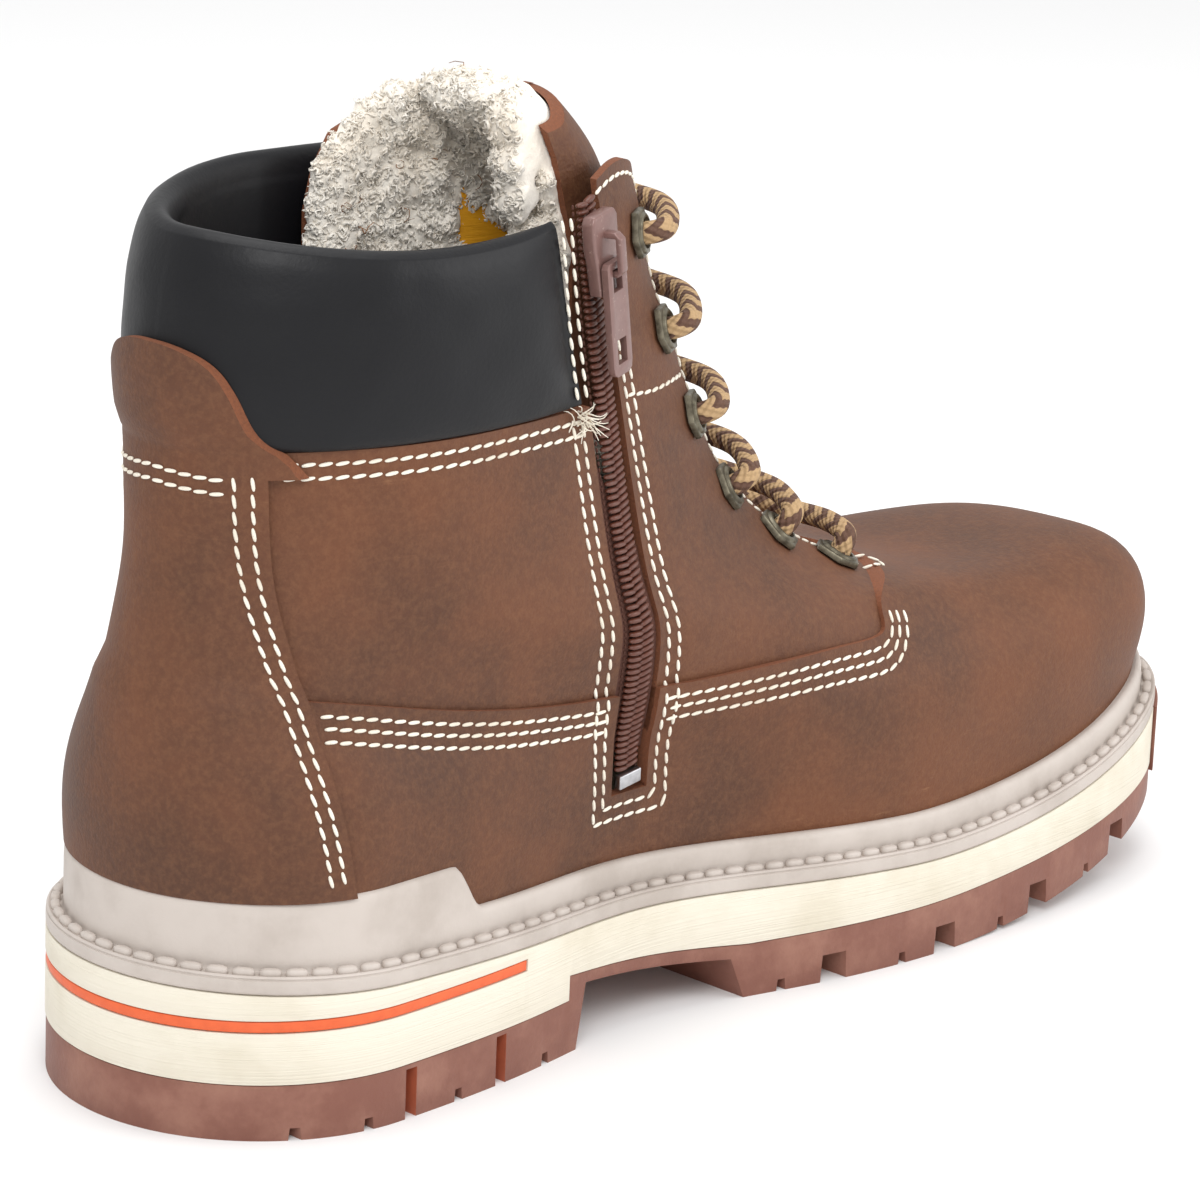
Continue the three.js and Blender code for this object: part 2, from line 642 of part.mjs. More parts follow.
// Upper: quarters and vamp in one wall, the vamp a layer over the quarters with its raw edge showing
const flapX = (z) => zipX(z) + zipWidth / 2;
const vampEdge = inShares([
  [-0.066, 0.5], [0.0906, 0.4833], [0.1977, 0.4472], [0.3295, 0.4167], [0.3987, 0.4144], [0.4942, 0.4128],
  ...rounded([0.5997, 0.4106], [0.6244, 0.4111], [0.6221, 0.4361], 3), [0.6303, 0.45], [0.6643, 0.4589],
  [0.6985, 0.4639], [0.7183, 0.4778], [0.7216, 0.7222], [1.0873, 0.7222],
]);
const vampZone = sidePrism([...vampEdge, [beforeToe, -5], [behindHeel, -5]], -reachY, reachY);
const seamLine = [[behindHeel, collarSeamZ], [flapX(collarSeamZ), collarSeamZ]];
const aboveQuarter = sidePrism([...seamLine, [flapX(collarSeamZ), overTop], [behindHeel, overTop]],
  -reachY, reachY);
const flapTop = flapTopZ / shaftHeight;
const aboveFlap = sidePrism(inShares([
  [0.2636, 1.3], [0.2636, flapTop - 0.0167],
  ...rounded([0.3163, flapTop - 0.0167], [0.3624, flapTop + 0.0111], [0.4415, flapTop - 0.0444], 5),
  [0.5601, flapTop - 0.1111], [0.5601, 1.3],
]), -reachY, reachY);
const vampLevels = [level('feather') + 0.4, ...upperLevels.slice(1).filter((v) => v <= level('instep'))];
let upper = shell(0, -wall).add(shell(vampLayer, -wall / 2, vampLevels).intersect(vampZone));
upper = upper.subtract(aboveQuarter).subtract(aboveFlap).subtract(throatPrism());
upper = upper.subtract(zipStrip(zipWidth, zipFootZ, overTop));
for (const spot of eyelets) {
  const hole = new THREE.CylinderGeometry(eyeletHole / 2 + 0.2, eyeletHole / 2 + 0.2, 16, 8);
  hole.rotateX(Math.PI / 2).applyMatrix4(eyeletFrame(spot).setPosition(spot.centre));
  upper = upper.subtract(solid(hole));
}
add('upper', upper, leatherFinish);

// Padded collar: a soft roll round the back of the shaft, from the zip to the outer flap.
// up is a share of the collar's height and out a share of its padding, or of its lining where negative.
const collarProfile = [
  { up: 0, out: 0.05 }, { up: 0.1, out: 0.62 }, { up: 0.36, out: 1 }, { up: 0.66, out: 0.92 },
  { up: 0.88, out: 0.45 }, { up: 1, out: -0.28 }, { up: 0.97, out: -0.78 }, { up: 0.8, out: -1.06 },
  { up: 0.45, out: -1.1 }, { up: 0.12, out: -0.72 }, { up: 0, out: -0.3 },
];
const topSpan = level('top') - level('seam');
const seamLevel = (z) => {
  const names = ['seam', 'ankle', 'collar', 'top'];
  const heights = names.map((name) => rings[level(name) - 3].backZ * shaftHeight);
  let i = 0;
  while (i < topSpan - 1 && z > heights[i + 1]) i += 1;
  return level('seam') + i + (z - heights[i]) / (heights[i + 1] - heights[i]);
};
const padAt = (out) => (out >= 0 ? out * collarPad : out * collarLining);
const collarPlaces = steps(-0.62, 0.62, 32);
const collarRows = collarProfile.map((row) => collarPlaces.map((s) => {
  const tilt = sideOf(s) * collarTilt * Math.sin(Math.PI * shareOf(s)) ** 2;
  return faceAt(s, seamLevel(collarSeamZ + clearance + row.up * (collarHeight + tilt)), padAt(row.out));
}));
const collarLimit = sidePrism([
  [behindHeel, zipFootZ], [flapX(zipFootZ) - clearance, zipFootZ],
  [flapX(overTop) - clearance, overTop], [behindHeel, overTop],
], -reachY, reachY);
const outerFlapLimit = sidePrism([
  [flapX(collarSeamZ) - clearance, zipFootZ], [beforeToe, zipFootZ],
  [beforeToe, overTop], [flapX(collarSeamZ) - clearance, overTop],
], 0, reachY);
const collar = solid(skin(collarRows, false, true))
  .intersect(collarLimit)
  .subtract(outerFlapLimit)
  .subtract(zipStrip(zipWidth, zipFootZ, overTop));
add('collar', collar, collarFinish);

// Back panel: heel counter and tab in one piece, over the quarters, the vamp and the foot of the collar
const bulge = (z) => {
  const up = (z - collarSeamZ) / collarHeight;
  if (up <= 0) return vampLayer * THREE.MathUtils.clamp((shaftHeight * 0.5111 - z) / 3, 0, 1);
  return collarPad * Math.min(1, Math.sqrt(Math.min(up, 0.36) / 0.36) + 0.06);
};
const panelShell = shell(
  (p) => bulge(p.z) + clearance + 0.3 + panelThick,
  (p) => bulge(p.z) + clearance + 0.3,
  [level('rand'), level('wall'), level('shoulder'), level('toe'), level('vamp'),
    level('throat'), level('instep'),
    ...steps(level('seam'), level('collar'), 6)],
);
const panelSide = inShares([
  [-0.0988, 0.2222], [0.112, 0.2556], [0.0972, 0.3889], [0.0906, 0.4778], [0.0774, 0.5722], [0.0682, 0.6611],
  ...rounded([0.0643, 0.7389], [0.06, 0.7667], [0.0363, 0.775], 2), [-0.0988, 0.775],
]);
const tabBack = () => {
  const side = [[24, 0.7444], [20.5, 0.7722], [18, 0.8111], [16, 0.8389], [12, 0.8611], [5, 0.8722]];
  const edge = [...side, ...side.map(([y, up]) => [-y, up]).reverse()];
  const shape = new THREE.Shape(edge.map(([y, up]) => new THREE.Vector2(y, up * shaftHeight)));
  const geometry = new THREE.ExtrudeGeometry(shape, { depth: soleLength * 0.2, bevelEnabled: false });
  const frame = new THREE.Matrix4().makeBasis(
    new THREE.Vector3(0, -1, 0), new THREE.Vector3(0, 0, 1), new THREE.Vector3(-1, 0, 0),
  );
  return solid(geometry.applyMatrix4(frame.setPosition(soleLength * 0.1,
    rings[level('seam') - 3].lean * shaftWidth, 0)));
};
const panelZone = sidePrism(panelSide, -reachY, reachY).add(tabBack());
const aboveRand = layer((x) => randTop(x) + clearance, () => overTop);
add('back_panel', panelShell.intersect(panelZone).intersect(aboveRand), leatherFinish);

// Tongue: leather outside and thick pile inside, rising above the collar and wrapped round the instep.
// half is a share of the shaft's half width; along is a share of the throat's length from its base,
// and up a share of the shaft's height. Its inner edge ends beside the zip, its outer one further back.
const tongueFoot = [
  { along: -0.06, half: 0.3 }, { along: 0.02, half: 0.42 }, { along: 0.45, half: 0.56 },
  { along: 0.75, half: 0.72 }, { along: 1, half: 0.8 },
];
const tongueHead = [
  { up: 0.8, half: 0.78 }, { up: 0.95, half: 0.8 }, { up: 1.01, half: 0.74 }, { up: 1.06, half: 0.6 },
  { up: 1.095, half: 0.42 }, { up: 1.11, half: 0.2 },
];
function mirrored(edge) {
  const points = [...edge, ...edge.map(([half, along]) => [-half, along]).reverse()];
  return new THREE.Shape(points.map(([across, along]) => new THREE.Vector2(across, along)));
}
function tonguePrism(narrower) {
  const width = (row) => (row.half * shaftWidth) / 2 - narrower;
  const foot = mirrored(tongueFoot.map((row) => [width(row), row.along * throatLength]));
  const footGeometry = new THREE.ExtrudeGeometry(foot, { depth: throatDepth, bevelEnabled: false });
  const footFrame = new THREE.Matrix4().makeBasis(new THREE.Vector3(0, 1, 0), laceLine, laceOut);
  footFrame.setPosition(throatBase.clone().addScaledVector(laceOut, -throatDepth * 0.535));
  const head = mirrored(tongueHead.map((row) => [width(row), row.up * shaftHeight - narrower]));
  const headGeometry = new THREE.ExtrudeGeometry(head, { depth: soleLength * 0.33, bevelEnabled: false });
  const headFrame = new THREE.Matrix4().makeBasis(
    new THREE.Vector3(0, 1, 0), new THREE.Vector3(0, 0, 1), new THREE.Vector3(1, 0, 0),
  ).setPosition(soleLength * 0.19, throatCentreY, 0);
  const innerTrim = sidePrism(inShares([
    [0.1, 0.3], [0.333, 0.3], [0.333, 0.922], [0.3163, 1.03], [0.2965, 1.1], [0.2965, 1.3], [0.1, 1.3],
  ]), -reachY, throatCentreY - 8).translate(narrower, 0, 0);
  const outerTrim = sidePrism(inShares([
    [0.1, 0.3], [0.211, 0.3], [0.211, 0.955], [0.2175, 1], [0.2307, 1.04], [0.2504, 1.07], [0.2768, 1.09],
    [0.32, 1.3], [0.1, 1.3],
  ]), throatCentreY, reachY).translate(narrower, 0, 0);
  return solid(footGeometry.applyMatrix4(footFrame)).add(solid(headGeometry.applyMatrix4(headFrame)))
    .subtract(innerTrim).subtract(outerTrim);
}
const tongueLevels = [
  ...upperLevels.filter((v) => v >= level('vamp')), ...steps(level('top'), level('tip'), 2).slice(1),
];
// The tongue's edges turn in behind the collar's lining, and its middle leans back towards the tip
const turnIn = (s, v) => {
  const edge = THREE.MathUtils.smoothstep(Math.abs(wrap(s) - 1), 0.22, 0.34);
  const tuck = collarLining * 1.15 * edge * THREE.MathUtils.smoothstep(v, level('instep'), level('seam'));
  return tuck + tongueLean * (1 - edge) * THREE.MathUtils.smoothstep(v, level('seam'), level('tip'));
};
const pileFrom = wall + tongueLeather + 2 * clearance;
const pileTo = (v, s) => {
  const high = THREE.MathUtils.smoothstep(v, level('throat'), level('ankle'));
  const middle = 1 - THREE.MathUtils.smoothstep(Math.abs(wrap(s) - 1), 0.12, 0.3);
  return pileFrom + pileThin + (pileDepth - pileThin) * high * (0.25 + 0.75 * middle);
};
const tongueShell = (from, to) => shell(
  (p, s, v) => -from(v, s) - turnIn(s, v),
  (p, s, v) => -to(v, s) - turnIn(s, v),
  tongueLevels,
);
const tongueLeaf = tongueShell(() => wall + clearance, () => wall + clearance + tongueLeather);
const tongue = tongueLeaf.intersect(tonguePrism(0));
add('tongue', tongue, leatherFinish);

// Pile lining: curly locks fused on the tongue's inner face and top edge
let pile = tongueShell(() => pileFrom, pileTo).intersect(tonguePrism(1.5));
const lockRows = [
  { at: level('seam') + 0.4, spread: 0.26, count: 5 }, { at: level('ankle') + 0.4, spread: 0.29, count: 6 },
  { at: level('collar'), spread: 0.31, count: 6 }, { at: level('collar') + 0.55, spread: 0.32, count: 7 },
  { at: level('top'), spread: 0.31, count: 7 }, { at: level('top') + 0.35, spread: 0.27, count: 6 },
];
lockRows.forEach((row, r) => {
  steps(1 - row.spread, 1 + row.spread, row.count).forEach((s, i) => {
    const depth = pileTo(row.at, s) - 1.6 + turnIn(s, row.at);
    const lock = new THREE.IcosahedronGeometry(pileLock + 0.6 * Math.sin(2.4 * i + 1.7 * r), 0);
    const centre = faceAt(s, row.at, -depth);
    lock.scale(1, 1, 0.9).rotateZ(i + r).translate(centre.x, centre.y, centre.z);
    pile = pile.add(solid(lock));
  });
});
pile = pile.subtract(tongueShell(() => -pileLock, () => pileFrom));

// Label: a folded tag with its root in the pile, on the inner side of the tongue
function tag(grow) {
  const plate = new THREE.BoxGeometry(labelWidth + 2 * grow, labelThick + 2 * grow, labelHeight + 2 * grow);
  const depth = pileTo(level('collar'), labelPlace) + turnIn(labelPlace, level('collar')) + labelWidth / 4;
  const root = faceAt(labelPlace, level('collar') - 0.1, -depth);
  return plate.rotateY(labelTilt).rotateZ(labelTurn).translate(root.x, root.y, root.z);
}
pile = pile.subtract(solid(tag(clearance)));
add('tongue_label', tag(0), labelFinish);

// Only the outer skin is kept, without the small pockets closed in between locks
pile = pile.decompose().sort((p, q) => q.volume() - p.volume())[0];
add('tongue_pile', pile, pileFinish);

// Eyelets: long hexagon plates with a round hole, square to the leather
function eyeletPlate() {
  const corner = eyeletLength / 2;
  const flat = eyeletWidth / 2;
  const shape = new THREE.Shape([
    [0, -corner], [flat, -corner * 0.42], [flat, corner * 0.42], [0, corner], [-flat, corner * 0.42],
    [-flat, -corner * 0.42],
  ].map(([x, y]) => new THREE.Vector2(x, y)));
  shape.holes.push(new THREE.Path().absarc(0, 0, eyeletHole / 2, 0, 2 * Math.PI, true));
  return new THREE.ExtrudeGeometry(shape, { depth: eyeletThick, bevelEnabled: false, curveSegments: 5 });
}
for (const spot of eyelets) {
  const name = `eyelet_${spot.side < 0 ? 'inner' : 'outer'}_${spot.row + 1}`;
  const plate = add(name, eyeletPlate(), brassFinish);
  plate.applyMatrix4(eyeletFrame(spot).setPosition(spot.centre.clone().addScaledVector(spot.out,
    clearance + 0.3)));
}

// Lace bars: one round cord from each eyelet over the instep to the one across. turn is a share of the
// way round from the middle of the instep to the eyelet, up is a share of the lace's lift off the leather.
const barRoute = [
  { turn: 1, up: -0.35 }, { turn: 1, up: 0.1 }, { turn: 1, up: 0.55 }, { turn: 0.95, up: 0.95 },
  { turn: 0.82, up: 1.05 },
  { turn: 0.45, up: 1 }, { turn: 0, up: 0.9 },
];
// The level at one place round the foot where the face crosses a plane through an eyelet
function levelAcross(s, end, normal) {
  let [low, high] = [level('toe'), ringNames.length - 1];
  for (let pass = 0; pass < 24; pass += 1) {
    const v = (low + high) / 2;
    if (face(s, v).sub(end.centre).dot(normal) < 0) low = v;
    else high = v;
  }
  return low;
}
for (let i = 0; i < eyeletCount; i += 1) {
  const ends = [eyelets[i], eyelets[eyeletCount + i]];
  const ridge = face(1, ends[0].v + 0.3).sub(face(1, ends[0].v - 0.3)).normalize();
  const normal = ridge.add(new THREE.Vector3(0, 0, 1)).normalize();
  const place = (row, end) => {
    if (row.turn === 1) return end.centre.clone().addScaledVector(end.out, row.up * laceLift);
    const s = 1 + row.turn * (end.s - 1);
    return faceAt(s, levelAcross(s, end, normal), row.up * laceLift);
  };
  const route = new THREE.CatmullRomCurve3([
    ...barRoute.map((row) => place(row, ends[0])),
    ...barRoute.slice(0, -1).reverse().map((row) => place(row, ends[1])),
  ]);
  const section = new THREE.Shape();
  section.absarc(0, 0, laceDiameter / 2, 0, 2 * Math.PI);
  const bar = new THREE.ExtrudeGeometry(section, { steps: 14, extrudePath: route, curveSegments: 4 });
  add(`lace_bar_${i + 1}`, bar, laceFinish);
}

// Zip: a tape with a ridge of coil in the slot and a metal stop at its foot
const tapeGap = clearance + 0.1;
const coilFootZ = zipFootZ + stopHeight + 2.3;
const tapeStrip = zipStrip(zipWidth - 2 * tapeGap, zipFootZ + tapeGap, zipTopZ + 2);
const coilStrip = zipStrip(coilWidth, coilFootZ, zipTopZ + 1);
const tape = shell(-tapeSink, -wall).intersect(tapeStrip).add(shell(coilRise, -1.5).intersect(coilStrip));
add('zip_tape', tape, tapeFinish);

// A frame on the zip at a height: X across, Y up along the zip, Z out of the leather
function zipFrame(z, lift) {
  const spot = findOnFace(new THREE.Vector3(zipX(z), 0, z), -1, new THREE.Vector3(0, 1, 0));
  const out = faceNormal(spot.s, spot.v);
  const along = new THREE.Vector3(-zipLean, 0, 1);
  const up = along.addScaledVector(out, -along.dot(out)).normalize();
  const origin = face(spot.s, spot.v).addScaledVector(out, lift);
  return new THREE.Matrix4().makeBasis(up.clone().cross(out), up, out).setPosition(origin);
}
const outlineOf = (points) => new THREE.Shape(points.map(([x, y]) => new THREE.Vector2(x, y)));
const plateOf = (shape, depth) => new THREE.ExtrudeGeometry(shape, { depth, bevelEnabled: false });
const [stopX, stopY] = [coilWidth / 2, stopHeight / 2];
const stopShape = outlineOf([[-stopX, -stopY], [stopX, -stopY], [stopX, stopY], [-stopX, stopY]]);
add('zip_stop', plateOf(stopShape, stopThick), stopFinish).applyMatrix4(zipFrame(zipFootZ + stopHeight, 0));

// Slider: a tapered body over the coil with a bridge that holds the pull
const sliderTop = sliderLength / 2;
const sliderHalf = sliderWidth / 2;
const sliderSide = [
  [sliderHalf * 0.72, -sliderTop], [sliderHalf * 0.84, -2], [sliderHalf, 2],
  [sliderHalf, sliderTop - 1.5], [sliderHalf * 0.8, sliderTop],
];
const sliderShape = outlineOf([...sliderSide, ...sliderSide.map(([x, y]) => [-x, y]).reverse()]);
const bridgeHalf = bridgeLength / 2;
const bridgeInside = bridgeHalf - bridgeBar;
const bridgeShape = outlineOf([
  [-bridgeHalf, -0.5], [-bridgeHalf, bridgeRoom], [-bridgeInside, bridgeRoom + bridgeBar],
  [bridgeInside, bridgeRoom + bridgeBar], [bridgeHalf, bridgeRoom], [bridgeHalf, -0.5],
  [bridgeInside, -0.5], [bridgeInside, bridgeRoom], [-bridgeInside, bridgeRoom], [-bridgeInside, -0.5],
]);
const bridge = plateOf(bridgeShape, bridgeWidth);
bridge.applyMatrix4(new THREE.Matrix4().makeBasis(
  new THREE.Vector3(0, 1, 0), new THREE.Vector3(0, 0, 1), new THREE.Vector3(1, 0, 0),
).setPosition(-bridgeWidth / 2, 0, sliderThick));
const sliderLift = coilRise + clearance + 0.2;
const sliderFrame = zipFrame(zipTopZ - sliderTop - 1, sliderLift);
const slider = solid(plateOf(sliderShape, sliderThick)).add(solid(bridge));
add('zip_slider', slider, pullFinish).applyMatrix4(sliderFrame);

// Pull: a plate with an eye round the bridge's lower leg and a window near its end, swinging on its cross bar
const barCentre = pullThick * 0.72 + 0.2 - bridgeInside;
const pullHeight = sliderThick + clearance + 0.1;
const pullHalf = pullWidth / 2;
const pullTop = pullThick / 2;
const pullEnd = pullTop - pullLength;
const pullSide = [
  [pullHalf * 0.7, pullEnd], [pullHalf, pullEnd + 2.25], [pullHalf, pullTop - 1], [pullHalf * 0.8, pullTop],
];
const pullShape = outlineOf([...pullSide, ...pullSide.map(([x, y]) => [-x, y]).reverse()]);
const windowOf = (width, from, to) => new THREE.Path([
  [-width / 2, from], [-width / 2, to], [width / 2, to], [width / 2, from],
].map(([x, y]) => new THREE.Vector2(x, y)));
pullShape.holes.push(windowOf(bridgeWidth + 1.4, -pullTop - eyeLength, -pullTop));
pullShape.holes.push(windowOf(windowWidth, pullEnd + 2.45, pullEnd + 2.45 + windowLength));
const pull = plateOf(pullShape, pullThick).translate(0, barCentre, pullHeight);
add('zip_pull', pull, pullFinish).applyMatrix4(sliderFrame);

// The origin is the middle of the boot's footprint, on the floor
const extent = new THREE.Box3().setFromObject(boot);
const middle = extent.getCenter(new THREE.Vector3());
boot.position.set(-middle.x, -middle.y, -extent.min.z);

export default boot;
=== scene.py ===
# A left winter boot: nubuck upper with a side zip, black padded collar, curly pile tongue,
# round laces through hexagon eyelets, and a layered rubber sole. Lengths here are millimetres
# from the back of the heel, turned into the frame's metres where a mesh is made.
import math
import bmesh
import bpy
import numpy as np
from mathutils import Matrix, Vector, kdtree, noise


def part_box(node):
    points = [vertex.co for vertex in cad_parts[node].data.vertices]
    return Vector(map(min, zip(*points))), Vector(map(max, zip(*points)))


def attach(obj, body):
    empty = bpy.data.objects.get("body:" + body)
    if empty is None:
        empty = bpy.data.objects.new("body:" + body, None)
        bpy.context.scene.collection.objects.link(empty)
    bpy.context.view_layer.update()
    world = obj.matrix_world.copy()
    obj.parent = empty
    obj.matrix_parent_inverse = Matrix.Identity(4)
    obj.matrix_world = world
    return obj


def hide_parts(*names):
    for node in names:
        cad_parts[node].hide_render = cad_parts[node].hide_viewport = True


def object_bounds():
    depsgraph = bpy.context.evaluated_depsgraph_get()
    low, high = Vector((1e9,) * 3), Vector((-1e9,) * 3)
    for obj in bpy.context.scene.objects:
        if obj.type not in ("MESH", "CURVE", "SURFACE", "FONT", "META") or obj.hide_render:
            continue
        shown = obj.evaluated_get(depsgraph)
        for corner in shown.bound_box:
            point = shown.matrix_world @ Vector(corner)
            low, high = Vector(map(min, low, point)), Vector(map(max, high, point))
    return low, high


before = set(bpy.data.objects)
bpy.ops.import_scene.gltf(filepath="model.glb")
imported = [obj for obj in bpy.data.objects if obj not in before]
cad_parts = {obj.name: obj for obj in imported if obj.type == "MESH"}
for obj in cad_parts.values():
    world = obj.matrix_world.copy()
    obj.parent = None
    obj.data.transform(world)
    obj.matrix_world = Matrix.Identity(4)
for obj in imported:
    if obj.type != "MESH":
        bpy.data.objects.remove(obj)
cad_box = [list(corner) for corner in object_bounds()]

# Camera: a long lens behind the inner side of the boot, a little above it, with the small tilt and
# the off-centre crop of the photograph. Its place was fitted to the sole's edge, the zip and the collar.
CAMERA_TARGET = (151.0, 0.0, 95.0)
CAMERA_TURN = math.radians(-47.32)
CAMERA_RISE = math.radians(15.04)
CAMERA_ROLL = math.radians(2.395)
CAMERA_DISTANCE = 1001.94
SENSOR = 36.0
PHOTO_SIDE = 1200
FOCAL_PIXELS = 4625.1
MIDDLE_SHIFT = (34.72, -71.43)
BALL_OUTER = 57.5
HEEL_SHIFT = Vector((cad_box[0][0], cad_box[1][1] - BALL_OUTER / 1000, 0.0))


def framed(points):
    """Millimetres from the heel as metres in the frame."""
    return np.asarray(points, float) / 1000 + np.array(HEEL_SHIFT)


camera_data = bpy.data.cameras.new("camera")
camera_data.sensor_width = SENSOR
camera_data.lens = FOCAL_PIXELS / PHOTO_SIDE * SENSOR
camera_data.shift_x = -MIDDLE_SHIFT[0] / PHOTO_SIDE
camera_data.shift_y = MIDDLE_SHIFT[1] / PHOTO_SIDE
camera_data.clip_end = 20
camera = bpy.data.objects.new("camera", camera_data)
bpy.context.scene.collection.objects.link(camera)
camera_back = Vector((
    math.sin(CAMERA_TURN) * math.cos(CAMERA_RISE),
    -math.cos(CAMERA_TURN) * math.cos(CAMERA_RISE),
    math.sin(CAMERA_RISE),
))
camera_right = Vector((math.cos(CAMERA_TURN), math.sin(CAMERA_TURN), 0.0))
camera_up = camera_back.cross(camera_right)
rolled_right = camera_right * math.cos(CAMERA_ROLL) + camera_up * math.sin(CAMERA_ROLL)
rolled_up = camera_up * math.cos(CAMERA_ROLL) - camera_right * math.sin(CAMERA_ROLL)
camera_place = Vector(framed(CAMERA_TARGET)) + camera_back * CAMERA_DISTANCE / 1000
camera.matrix_world = Matrix.Translation(camera_place) @ Matrix(
    (rolled_right, rolled_up, camera_back)
).transposed().to_4x4()
bpy.context.scene.camera = camera

# Midsole: cream foam cast in the sole's outline, with fine lines brushed along its wall and a groove
# round the heel. The outline is a heel arc, a spline through the waist and a squared toe on each side.
SOLE_LENGTH = 303.5
HEEL_RADIUS = 43.2
BALL_INNER = 51.8
TOE_TIP_Y = -13.5
TOE_SQUARENESS = 2.85
SOLE_STATIONS = ((0.27, 0.799, 0.735), (0.4, 0.722, 0.765), (0.55, 0.907, 0.93))
INNER_BALL_AT = 0.691
OUTER_BALL_AT = 0.64
TOE_SPRING = 20.0
HEEL_RUBBER = 11.8
FORE_RUBBER = 12.2
WAIST_RISE = 4.8
RIM_HEEL = 31.2
RIM_FALL = 13.8
RIM_TOE_RISE = 23.6
BREAST_X = 97.0
FORE_LUG_X = 147.0
STRIPE_Z = 23.8
STRIPE_HEIGHT = 2.2
STRIPE_DEPTH = 1.2
STRIPE_END_X = 79.0
BUMPER_X = 291.0
BUMPER_THICK = 2.4
BUMPER_PROUD = 0.8
SEAM_GAP = 0.25
REACH = 100.0


class Wire:
    """A shader socket that takes part in sums, so that shader maths reads as Python."""

    def __init__(self, finish, socket):
        self.finish = finish
        self.socket = socket

    def _math(self, operation, *others):
        return self.finish.node("ShaderNodeMath", {"operation": operation}, others)

    def __add__(self, other):
        return self._math("ADD", self, other)

    def __radd__(self, other):
        return self._math("ADD", other, self)

    def __sub__(self, other):
        return self._math("SUBTRACT", self, other)

    def __rsub__(self, other):
        return self._math("SUBTRACT", other, self)

    def __mul__(self, other):
        return self._math("MULTIPLY", self, other)

    def __rmul__(self, other):
        return self._math("MULTIPLY", other, self)

    def __truediv__(self, other):
        return self._math("DIVIDE", self, other)

    def __pow__(self, other):
        return self._math("POWER", self, other)

    def __mod__(self, other):
        return self._math("FLOORED_MODULO", self, other)

    def over(self, limit):
        return self._math("GREATER_THAN", self, limit)

    def size(self):
        return self._math("ABSOLUTE", self)

    def sine(self):
        return self._math("SINE", self)


class Finish:
    """A material made of nodes round one Principled shader."""

    def __init__(self, name, roughness=0.5, metallic=0.0, **plain):
        self.material = bpy.data.materials.new(name)
        self.material.use_nodes = True
        self.tree = self.material.node_tree
        self.shader = self.tree.nodes["Principled BSDF"]
        self.shader.inputs["Roughness"].default_value = roughness
        self.shader.inputs["Metallic"].default_value = metallic
        for socket, value in plain.items():
            self.shader.inputs[socket.replace("_", " ")].default_value = value
        self.place = self.node("ShaderNodeTexCoord", {}, {}, "Object")

    def node(self, kind, settings, sockets, out=0):
        """Adds a node: settings first, then the values or links of its sockets; gives one output."""
        made = self.tree.nodes.new(kind)
        for key, value in settings.items():
            if key == "stops":
                ramp = made.color_ramp
                while len(ramp.elements) < len(value):
                    ramp.elements.new(0.5)
                for element, (at, colour) in zip(ramp.elements, value):
                    element.position = at
                    element.color = colour
            else:
                setattr(made, key, value)
        pairs = sockets.items() if isinstance(sockets, dict) else enumerate(sockets)
        for key, value in pairs:
            if isinstance(value, Wire):
                self.tree.links.new(value.socket, made.inputs[key])
            else:
                made.inputs[key].default_value = value
        return Wire(self, made.outputs[out])

    def feed(self, **wires):
        """Links wires to the shader: Base_Color, Roughness, Metallic, Normal and so on."""
        for socket, wire in wires.items():
            self.tree.links.new(wire.socket, self.shader.inputs[socket.replace("_", " ")])
        return self

    def scaled(self, x, y, z):
        return self.node("ShaderNodeVectorMath", {"operation": "MULTIPLY"}, {0: self.place, 1: (x, y, z)})

    def noise(self, scale, detail=3.0, rough=0.5, place=None):
        sockets = {"Vector": place or self.place, "Scale": scale, "Detail": detail, "Roughness": rough}
        return self.node("ShaderNodeTexNoise", {}, sockets, "Fac")

    def cells(self, scale, place=None, feature="F1"):
        sockets = {"Vector": place or self.place, "Scale": scale}
        return self.node("ShaderNodeTexVoronoi", {"feature": feature}, sockets, "Distance")

    def between(self, share, first, second):
        """A colour between two colours or colour wires."""
        settings = {"data_type": "RGBA"}
        return self.node("ShaderNodeMix", settings, {0: share, 6: first, 7: second}, 2)

    def ramp(self, value, low, high):
        """0 below low, 1 above high, smooth between."""
        settings = {"interpolation_type": "SMOOTHSTEP"}
        return self.node("ShaderNodeMapRange", settings, {0: value, 1: low, 2: high, 3: 0.0, 4: 1.0})

    def bump(self, height, distance, strength=1.0):
        sockets = {"Strength": strength, "Distance": distance, "Height": height}
        return self.node("ShaderNodeBump", {}, sockets)


def paint(red, green, blue):
    """A colour from 0 to 255 as the eye sees it, for a shader."""
    def straight(c):
        c /= 255
        return c / 12.92 if c <= 0.04045 else ((c + 0.055) / 1.055) ** 2.4
    return (straight(red), straight(green), straight(blue), 1.0)


def bends(knots, values, flat_ends=False):
    """Second slopes of cubic splines, many splines at once. values has one column for each axis."""
    count = knots.shape[-1]
    step = np.diff(knots)
    rise = np.diff(values, axis=-2) / step[..., None]
    sums = np.zeros(knots.shape + (count,))
    right = np.zeros(values.shape)
    i = np.arange(1, count - 1)
    sums[..., i, i - 1] = step[..., :-1]
    sums[..., i, i] = 2 * (step[..., :-1] + step[..., 1:])
    sums[..., i, i + 1] = step[..., 1:]
    right[..., i, :] = 6 * np.diff(rise, axis=-2)
    sums[..., 0, 0] = 1
    sums[..., -1, -1] = 1
    if flat_ends:
        sums[..., 0, 0] = 2 * step[..., 0]
        sums[..., 0, 1] = step[..., 0]
        sums[..., -1, -2] = step[..., -1]
        sums[..., -1, -1] = 2 * step[..., -1]
        right[..., 0, :] = 6 * rise[..., 0, :]
        right[..., -1, :] = -6 * rise[..., -1, :]
    return np.linalg.solve(sums, right)


